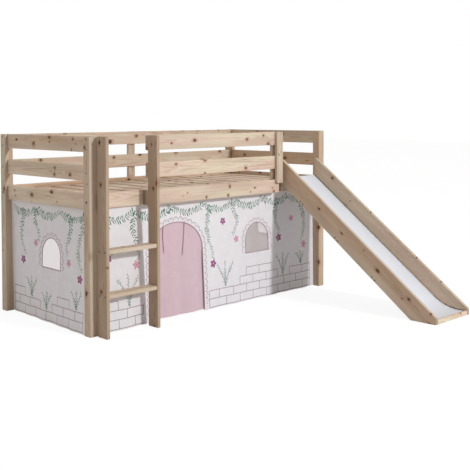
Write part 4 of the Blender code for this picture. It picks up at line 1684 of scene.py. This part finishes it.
@dataclass
class Hardware:
    """The bolts and screws that hold the boards, where their heads show."""

    steel: Material
    bolt: SocketHead = SocketHead(7.0 * MM, 1.6 * MM)
    screw: SocketHead = SocketHead(5.2 * MM, 1.2 * MM)
    end_screws: tuple[float, ...] = (1.123, 1.067, 0.931)
    rear_screws: tuple[float, ...] = (1.095, 0.931)
    bolts: tuple[float, ...] = (0.767,)
    # Where a crosspiece's screws sit in it, as shares of its depth and of its height.
    tread_places: tuple[Point2, ...] = ((0.14, 0.5), (0.80, 0.5))
    batten_places: tuple[Point2, ...] = ((0.3, 0.3), (0.7, 0.7))
    # Each head is turned on by this much from the last one.
    turn: float = 0.9
    crease: float = 30.0

    def build(self) -> list[Piece]:
        """Set every head.

        Returns:
            One piece for each group of heads.
        """
        left, right = ("post_left_front", "post_left_rear"), ("post_right_front", "post_right_rear")
        stiles, treads = ("ladder_stile_left", "ladder_stile_right"), ("ladder_tread_1", "ladder_tread_2")
        rails, battens = ("slide_rail_left", "slide_rail_right"), [f"slide_batten_{i}" for i in (1, 2, 3)]
        groups = {
            "screws_left_end": (self.screw, self._end(left, 0, self.end_screws)),
            "screws_right_end": (self.screw, self._end(right, 1, self.end_screws)),
            "screws_rear": (self.screw, self._rear(self.rear_screws)),
            "bolts_left_end": (self.bolt, self._end(left, 0, self.bolts)),
            "bolts_right_end": (self.bolt, self._end(right, 1, self.bolts)),
            "bolts_rear": (self.bolt, self._rear(self.bolts)),
            "screws_ladder": (self.screw, self._crosspieces(stiles, treads, self.tread_places)),
            "screws_slide": (self.screw, self._crosspieces(rails, battens, self.batten_places)),
        }
        pieces = []
        for name, (head, spots) in groups.items():
            piece = self._heads(name, head, spots)
            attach(piece, BED)
            pieces.append(piece)
            LOG.info("%s: %d heads", name, len(spots))
        return pieces

    def _end(self, posts: Sequence[str], side: int, levels: Sequence[float]) -> list[Spot]:
        """Place heads on the outer faces of one end's posts.

        Args:
            posts: The end's posts.
            side: 0 for the left end, 1 for the right.
            levels: The heads' heights.

        Returns:
            Where each head sits and which way it faces.
        """
        spots = []
        for post in posts:
            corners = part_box(post)
            y = (corners[0].y + corners[1].y) / 2
            spots += [((corners[side].x, y, level), OUTWARD[side]) for level in levels]
        return spots

    def _rear(self, levels: Sequence[float]) -> list[Spot]:
        """Place heads on the rear faces of the posts and the upright.

        Args:
            levels: The heads' heights.

        Returns:
            Where each head sits and which way it faces.
        """
        spots = []
        for post in ("post_left_rear", "post_right_rear", "rear_upright"):
            low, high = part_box(post)
            spots += [(((low.x + high.x) / 2, high.y, level), (0.0, 1.0, 0.0)) for level in levels]
        return spots

    def _crosspieces(
        self, sides: Sequence[str], crosses: Sequence[str], places: Sequence[Point2]
    ) -> list[Spot]:
        """Place heads on the outer faces of two side pieces, over the ends of their crosspieces.

        Args:
            sides: The left and the right side piece.
            crosses: The crosspieces between them.
            places: Where the screws sit in a crosspiece.

        Returns:
            Where each head sits and which way it faces.
        """
        spots = []
        for side, name in enumerate(sides):
            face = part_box(name)[side].x
            for cross in crosses:
                low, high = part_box(cross)
                for deep, tall in places:
                    place = (face, low.y + (high.y - low.y) * deep, low.z + (high.z - low.z) * tall)
                    spots.append((place, OUTWARD[side]))
        return spots

    def _heads(self, name: str, head: SocketHead, spots: Sequence[Spot]) -> Piece:
        """Make heads in one mesh, each on its spot and facing along its axis.

        Args:
            name: The piece's name.
            head: Their shape.
            spots: Where each one sits and which way it faces.

        Returns:
            The piece.
        """
        points, faces = [], []
        rings, count = head.rings(), head.segments
        for number, (spot, axis) in enumerate(spots):
            turn = Vector(axis).to_track_quat("Z", "Y").to_matrix()
            turn = turn @ Matrix.Rotation(number * self.turn, 3, "Z")
            base = len(points)
            for ring in rings:
                points += [Vector(spot) + turn @ Vector(p) for p in ring]
            for low in range(base, base + (len(rings) - 1) * count, count):
                high = low + count
                steps = [(i, (i + 1) % count) for i in range(count)]
                faces += [(low + i, low + j, high + j, high + i) for i, j in steps]
            faces.append(tuple(base + i for i in reversed(range(count))))
            faces.append(tuple(len(points) - count + i for i in range(count)))
        return add_mesh(name, points, faces, [self.steel], crease=self.crease)


@dataclass
class Timber:
    """Every pine board, post and rail of the frame, each sawn from its own place in a log."""

    pine: KnottyPine = field(default_factory=KnottyPine)
    slope: float = math.radians(36.6)
    seed: int = 5
    # Where the pith may run: along the log, to either side of the board, and under or over it.
    pith_along: float = 9.0
    pith_aside: float = 0.03
    pith_off: Point2 = (0.03, 0.09)
    heart: Point2 = (0.02, 0.06)
    tone: Point2 = (0.93, 1.06)
    # How much wider the heart is in a kind of piece, and its tone beside the others. Every entry that a
    # piece's name starts with counts. Posts and stiles are sawn nearer the pith, slats and the foot board
    # from pale sapwood, and the tones follow the boards in the photograph, so they hold painted shade and
    # painted light as well as wood tone: the ladder block and the stiles are darkened, and the stiles made
    # browner, for the shade that falls on them, and the slats are brightened past pale wood for the light on
    # them.
    tones_and_painted_shade: dict[str, Point2] = field(default_factory=lambda: {
        "post_": (0.04, 0.90),
        "post_right_front": (0.0, 0.94),
        "ladder_stile": (0.08, 0.76),
        "ladder_stile_right": (0.0, 0.95),
        "ladder_block": (0.08, 0.50),
        "ladder_tread_2": (0.0, 0.94),
        "rear_board": (0.0, 0.94),
        "rear_board_middle": (0.04, 0.94),
        "rear_board_lower": (0.03, 1.20),
        "rear_upright": (0.03, 0.88),
        "guard_board": (-0.03, 1.06),
        "front_side_rail": (-0.03, 1.06),
        "right_board": (0.04, 0.84),
        "slide_post": (0.0, 0.90),
        "slat_": (-0.04, 1.15),
        "slide_rail": (0.01, 0.94),
        "slide_foot": (-0.06, 1.12),
    })

    def dress(self, names: Sequence[str]) -> None:
        """Give each piece its own figure.

        Args:
            names: The pine pieces.
        """
        random = np.random.default_rng(self.seed)
        for name in sorted(names):
            node = frame["nodes"][name]
            aside = random.uniform(-self.pith_aside, self.pith_aside)
            off = random.uniform(*self.pith_off) * (1 if random.random() < 0.5 else -1)
            pith = (random.uniform(-self.pith_along, self.pith_along), aside, off)
            heart = random.uniform(*self.heart)
            tone = random.uniform(*self.tone)
            # Some of these tones are painted shade or painted light, as the table above says.
            for start, (wider, share) in self.tones_and_painted_shade.items():
                if name.startswith(start):
                    heart, tone = heart + wider, tone * share
            finish = self.pine.dress(self._lie(name), name, pith, heart, tone)
            node.data.materials.clear()
            node.data.materials.append(finish)
        LOG.info("timber: %d pieces dressed", len(names))

    def _lie(self, name: str) -> BoardFrame:
        """Work out from its box how a piece lies.

        Args:
            name: The piece.

        Returns:
            Its middle and its directions.
        """
        low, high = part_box(name)
        centre = (low + high) / 2
        down = Vector((0.0, -math.cos(self.slope), -math.sin(self.slope)))
        if name.startswith("slide_rail"):
            return BoardFrame(centre, down, Vector((0.0, math.sin(self.slope), -math.cos(self.slope))))
        if name.startswith("slide_batten"):
            return BoardFrame(centre, Vector((1.0, 0.0, 0.0)), down)
        size = high - low
        order = sorted(range(3), key=lambda axis: -size[axis])
        along, across = (Vector([float(axis == i) for i in range(3)]) for axis in order[:2])
        return BoardFrame(centre, along, across)


@dataclass
class SlideSheet:
    """The bent sheet that a child slides on, a solid of the frame."""

    finish: Material
    node: str = "slide_sheet"

    def dress(self) -> None:
        """Face the sheet with its laminate."""
        sheet = frame["nodes"][self.node]
        sheet.data.materials.clear()
        sheet.data.materials.append(self.finish)
        LOG.info("%s: %d faces dressed", self.node, len(sheet.data.polygons))

    def profile(self, least_step: float) -> list[tuple[float, float, float, float]]:
        """Trace the sheet's upper line.

        Args:
            least_step: Points nearer together than this, from front to rear, count as one.

        Returns:
            Each point's Y and Z, and the way up from it.
        """
        sheet = frame["nodes"][self.node]
        tops: dict[float, float] = {}
        for vertex in sheet.data.vertices:
            spot = sheet.matrix_world @ vertex.co
            key = round(spot.y, 3)
            tops[key] = max(tops.get(key, -1.0), spot.z)
        line = np.array(sorted(tops.items()))
        line = line[np.concatenate([[True], np.diff(line[:, 0]) > least_step])]
        step = np.gradient(line, axis=0)
        step /= np.linalg.norm(step, axis=1)[:, None]
        return [(y, z, -b, a) for (y, z), (a, b) in zip(line.tolist(), step.tolist())]


@dataclass(frozen=True)
class PaintedGrooveShade:
    """Painted shade: pine coloured dark for the shade inside a routed groove's mouth.

    The eye sees a dark brown line, rough and streaked along the cut.
    """

    # Both browns are painted shade: the dark of the groove's mouth, laid on as colour.
    wood: str = "5F4735"
    deep: str = "3E2D20"
    # The cutter's streaks are drawn 25 mm long and 17 mm wide, so that they show.
    streaks: Point3 = (40.0, 60.0, 60.0)
    relief: float = 0.2 * MM

    def dress(self) -> Material:
        """Make the routed wood.

        Returns:
            The material.
        """
        shader, made = Shader.material("painted_groove_shade")
        add = shader.add
        place = add("TexCoord", output="Object")
        stretched = add("VectorMath", {0: place, 1: self.streaks}, operation="MULTIPLY")
        streak = add("TexNoise", {"Vector": stretched, "Scale": 1.0, "Detail": 2.0})
        colour = add("Mix", {0: streak, 6: linear(self.wood), 7: linear(self.deep)}, **COLOURS)
        bump = add("Bump", {"Height": streak, "Distance": self.relief, "Strength": 0.5})
        look = {"Base Color": colour, "Roughness": 0.85, "Normal": bump}
        add("OutputMaterial", {"Surface": add("BsdfPrincipled", look)})
        return made


@dataclass
class SlideGrooveShade:
    """Painted shade of the grooves that the sliding sheet is let into: dark strips laid along both rails."""

    sheet: SlideSheet
    finish: Material
    opening: float = 5.0 * MM
    proud: float = 0.25 * MM
    least_step: float = 2.0 * MM

    def build(self) -> list[Piece]:
        """Lay one strip of painted shade along each rail, just above the sheet.

        Returns:
            The two pieces.
        """
        profile = self.sheet.profile(self.least_step)
        pieces = []
        for hand, side in (("left", 1), ("right", 0)):
            name, rail = f"groove_{hand}", f"slide_rail_{hand}"
            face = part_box(rail)[side].x
            out = self.proud if side else -self.proud
            points, faces = [], []
            for y, z, up_y, up_z in profile:
                for across, lift in ((0.0, 0.0), (out, 0.0), (out, self.opening), (0.0, self.opening)):
                    points.append((face + across, y + up_y * lift, z + up_z * lift))
            for a in range(0, 4 * (len(profile) - 1), 4):
                faces += [(a + i, a + 4 + i, a + 4 + (i + 1) % 4, a + (i + 1) % 4) for i in range(4)]
            faces.append((0, 1, 2, 3))
            faces.append(tuple(len(points) - 1 - i for i in range(4)))
            groove_shade = add_mesh(name, points, faces, [self.finish])
            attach(groove_shade, BED)
            pieces.append(groove_shade)
            LOG.info("%s: %d points along the sheet", name, len(profile))
        return pieces


@dataclass
class Studio:
    """The white room: floor, sky, softbox and camera."""

    key_place: Point3 = (1.75, -10.9, 5.4)
    key_aim: Point3 = (0.0, 0.2, 0.6)
    key_size: float = 0.95
    key_power: float = 765.0
    key_tint: Point3 = (0.97, 1.0, 1.05)
    # The sky is warm at the horizon and white overhead.
    sky: float = 0.60
    sky_tint: Point3 = (1.0, 0.95, 0.892)
    # The room is brighter behind the bed than in front of it, where the softbox stands,
    # and brightest behind its left end and in front of its right end.
    sky_lean: float = 0.45
    sky_turn: float = 1.00
    # What the floor gives back to the object, and what the eye sees: a glow with faint shadows.
    floor_half: float = 30.0
    floor_bounce: float = 0.72
    floor_shown: float = 0.19
    floor_glow: float = 0.87
    eye: Point3 = (-3.8184, -3.7417, 1.2641)
    yaw: float = 0.8092
    pitch: float = 0.0349
    roll: float = -0.0034
    lens: float = 64.284
    sensor: float = 36.0
    shift: Point2 = (0.0601, -0.1949)

    def build(self) -> None:
        """Set the studio up."""
        self._world()
        self._floor()
        self._key()
        self._camera()
        settings = bpy.context.scene.view_settings
        settings.view_transform = "Standard"
        LOG.info("studio: softbox %.0f W, sky %.2f", self.key_power, self.sky)

    def _world(self) -> None:
        """Hang a white backdrop for the eye and for reflections, and a softer sky for the light."""
        world = bpy.data.worlds.new("studio_white")
        world.use_nodes = True
        world.node_tree.nodes.clear()
        add = Shader(world.node_tree).add
        path = add("LightPath").node.outputs
        seen = path["Is Camera Ray"]
        for ray in ("Is Glossy Ray", "Is Transmission Ray"):
            seen = add("Math", {0: seen, 1: path[ray]}, operation="MAXIMUM")
        toward = add("SeparateXYZ", {0: add("TexCoord", output="Generated")}).node.outputs
        lean = add("Math", {0: toward[0], 1: -self.sky_turn, 2: self.sky_lean}, operation="MULTIPLY_ADD")
        lean = add("Math", {0: toward[1], 1: lean}, operation="MULTIPLY")
        sky = add("Math", {0: lean, 1: self.sky, 2: self.sky}, operation="MULTIPLY_ADD")
        strength = add("Mix", {0: seen, 2: sky, 3: 1.0}, **VALUES)
        height = add("Math", {0: toward[2], 1: 0.0}, operation="MAXIMUM")
        light = add("Mix", {0: height, 6: (*self.sky_tint, 1.0), 7: WHITE}, **COLOURS)
        colour = add("Mix", {0: seen, 6: light, 7: WHITE}, **COLOURS)
        surface = add("Background", {"Color": colour, "Strength": strength})
        add("OutputWorld", {"Surface": surface})
        bpy.context.scene.world = world

    def _floor(self) -> None:
        """Lay a white floor that shows the object's shadow faintly."""
        shader, made = Shader.material("studio_floor")
        add = shader.add
        seen = add("LightPath", output="Is Camera Ray")
        greys = (self.floor_bounce, self.floor_shown)
        white, faint = (add("BsdfDiffuse", {"Color": (grey, grey, grey, 1.0)}) for grey in greys)
        glow = add("Emission", {"Color": WHITE, "Strength": self.floor_glow})
        shown = add("AddShader", {0: faint, 1: glow})
        surface = add("MixShader", {0: seen, 1: white, 2: shown})
        add("OutputMaterial", {"Surface": surface})
        half = self.floor_half
        corners = [(-half, -half, 0.0), (half, -half, 0.0), (half, half, 0.0), (-half, half, 0.0)]
        floor = add_mesh("studio_floor", corners, [(0, 1, 2, 3)], [made])
        floor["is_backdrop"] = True

    def _key(self) -> None:
        """Hang a round softbox in front of the slide's end, whose shadows widen with distance."""
        lamp = bpy.data.lights.new("softbox", "AREA")
        lamp.shape = "DISK"
        lamp.size = self.key_size
        lamp.energy = self.key_power
        lamp.color = self.key_tint
        key = bpy.data.objects.new("softbox", lamp)
        key.location = self.key_place
        aim = Vector(self.key_place) - Vector(self.key_aim)
        key.rotation_euler = aim.to_track_quat("Z", "Y").to_euler()
        bpy.context.scene.collection.objects.link(key)

    def _camera(self) -> None:
        """Set the camera that fits the photograph."""
        forward = Vector((
            math.cos(self.yaw) * math.cos(self.pitch),
            math.sin(self.yaw) * math.cos(self.pitch),
            -math.sin(self.pitch),
        ))
        level = Vector((math.sin(self.yaw), -math.cos(self.yaw), 0.0))
        upright = level.cross(forward)
        right = math.cos(self.roll) * level + math.sin(self.roll) * upright
        top = math.cos(self.roll) * upright - math.sin(self.roll) * level
        data = bpy.data.cameras.new("camera")
        data.lens, data.sensor_width = self.lens, self.sensor
        data.shift_x, data.shift_y = self.shift
        camera = bpy.data.objects.new("camera", data)
        turn = Matrix((right, top, -forward)).transposed().to_4x4()
        camera.matrix_world = Matrix.Translation(self.eye) @ turn
        bpy.context.scene.collection.objects.link(camera)
        bpy.context.scene.camera = camera


def front_print() -> GardenPrint:
    """Lay the front panel's pattern out round its doorway and window.

    Returns:
        The pattern.
    """
    return GardenPrint(
        width=FRONT_FALL.width,
        openings=(DOORWAY, FRONT_WINDOW),
        swag_nodes=(0.03, 0.31, 0.60, 0.88, 1.16, 1.44, 1.70, 1.955),
        drops=((0.10, 0.24), (0.31, 0.30), (0.92, 0.36), (1.16, 0.22), (1.58, 0.26), (1.86, 0.34)),
        courses=(
            (0, 0, 2.75), (0, 6.75, 14.75), (1, 0, 2.5), (1, 6.75, 14.75), (2, 0, 1),
            (2, 9, 12), (2, 13, 14.75), (3, 9.5, 11.5),
        ),
        flowers=(
            (0.10, 0.425, 0.052, Ink.PLUM),
            (0.31, 0.365, 0.056, Ink.ROSE),
            (0.950, 0.292, 0.056, Ink.PLUM),
            (1.17, 0.430, 0.050, Ink.ROSE),
            (1.60, 0.395, 0.055, Ink.PLUM),
            (1.87, 0.320, 0.056, Ink.ROSE),
            (1.05, 0.560, 0.048, Ink.PLUM),
            (1.74, 0.520, 0.046, Ink.ROSE),
        ),
        sprigs=((0.24, 0.124, 0.19), (1.06, 0.124, 0.18), (1.64, 0.124, 0.17), (1.83, 0.178, 0.10)),
        seed=31,
    )


def end_print(seed: int) -> GardenPrint:
    """Lay an end panel's pattern out round its window.

    Args:
        seed: Where its random draws start.

    Returns:
        The pattern.
    """
    return GardenPrint(
        width=LEFT_FALL.width,
        openings=(END_WINDOW,),
        swag_nodes=(0.03, 0.30, 0.56, 0.825),
        drops=((0.14, 0.30), (0.30, 0.20), (0.66, 0.26), (0.78, 0.34)),
        courses=((0, 0, 6.15), (1, 0, 2.5), (1, 3.5, 6.15), (2, 0, 1), (2, 4, 5)),
        flowers=(
            (0.14, 0.350, 0.054, Ink.PLUM),
            (0.29, 0.470, 0.046, Ink.ROSE),
            (0.66, 0.390, 0.050, Ink.ROSE),
            (0.78, 0.310, 0.052, Ink.PLUM),
        ),
        sprigs=((0.24, 0.124, 0.14), (0.75, 0.124, 0.12), (0.42, 0.070, 0.12)),
        seed=seed,
    )


def write_size() -> None:
    """Work out the solid model's box and the dressed model's box; nothing is written.
    """
    boxes = {"cad": CAD_BOX, "visual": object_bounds()}
    plain = {name: [[float(v) for v in corner] for corner in box] for name, box in boxes.items()}


def main() -> None:
    """Dress the bed piece by piece, and light it."""
    logging.basicConfig(level=logging.INFO, format="%(name)s: %(message)s")
    pine = [part["node"] for part in frame["record"]["subparts"] if part["material_slot"] == "pine"]
    Timber().dress(pine)
    sheet = SlideSheet(WhiteLaminate().dress())
    sheet.dress()
    wardrobe = Wardrobe.make()
    CurtainPanel("front_curtain", FRONT_FALL, FRONT_WINDOW, front_print(), wardrobe, DOORWAY).build()
    CurtainPanel("left_curtain", LEFT_FALL, END_WINDOW, end_print(47), wardrobe).build()
    CurtainPanel("right_curtain", RIGHT_FALL, END_WINDOW, end_print(59), wardrobe).build()
    DoorFlap(wardrobe).build()
    RibbonTies(wardrobe).build()
    # The dark strips along the rails are painted shade where the sheet meets them.
    SlideGrooveShade(sheet, PaintedGrooveShade().dress()).build()
    Hardware(ZincSteel().dress()).build()
    Studio().build()
    write_size()


if __name__ == "__main__":
    main()
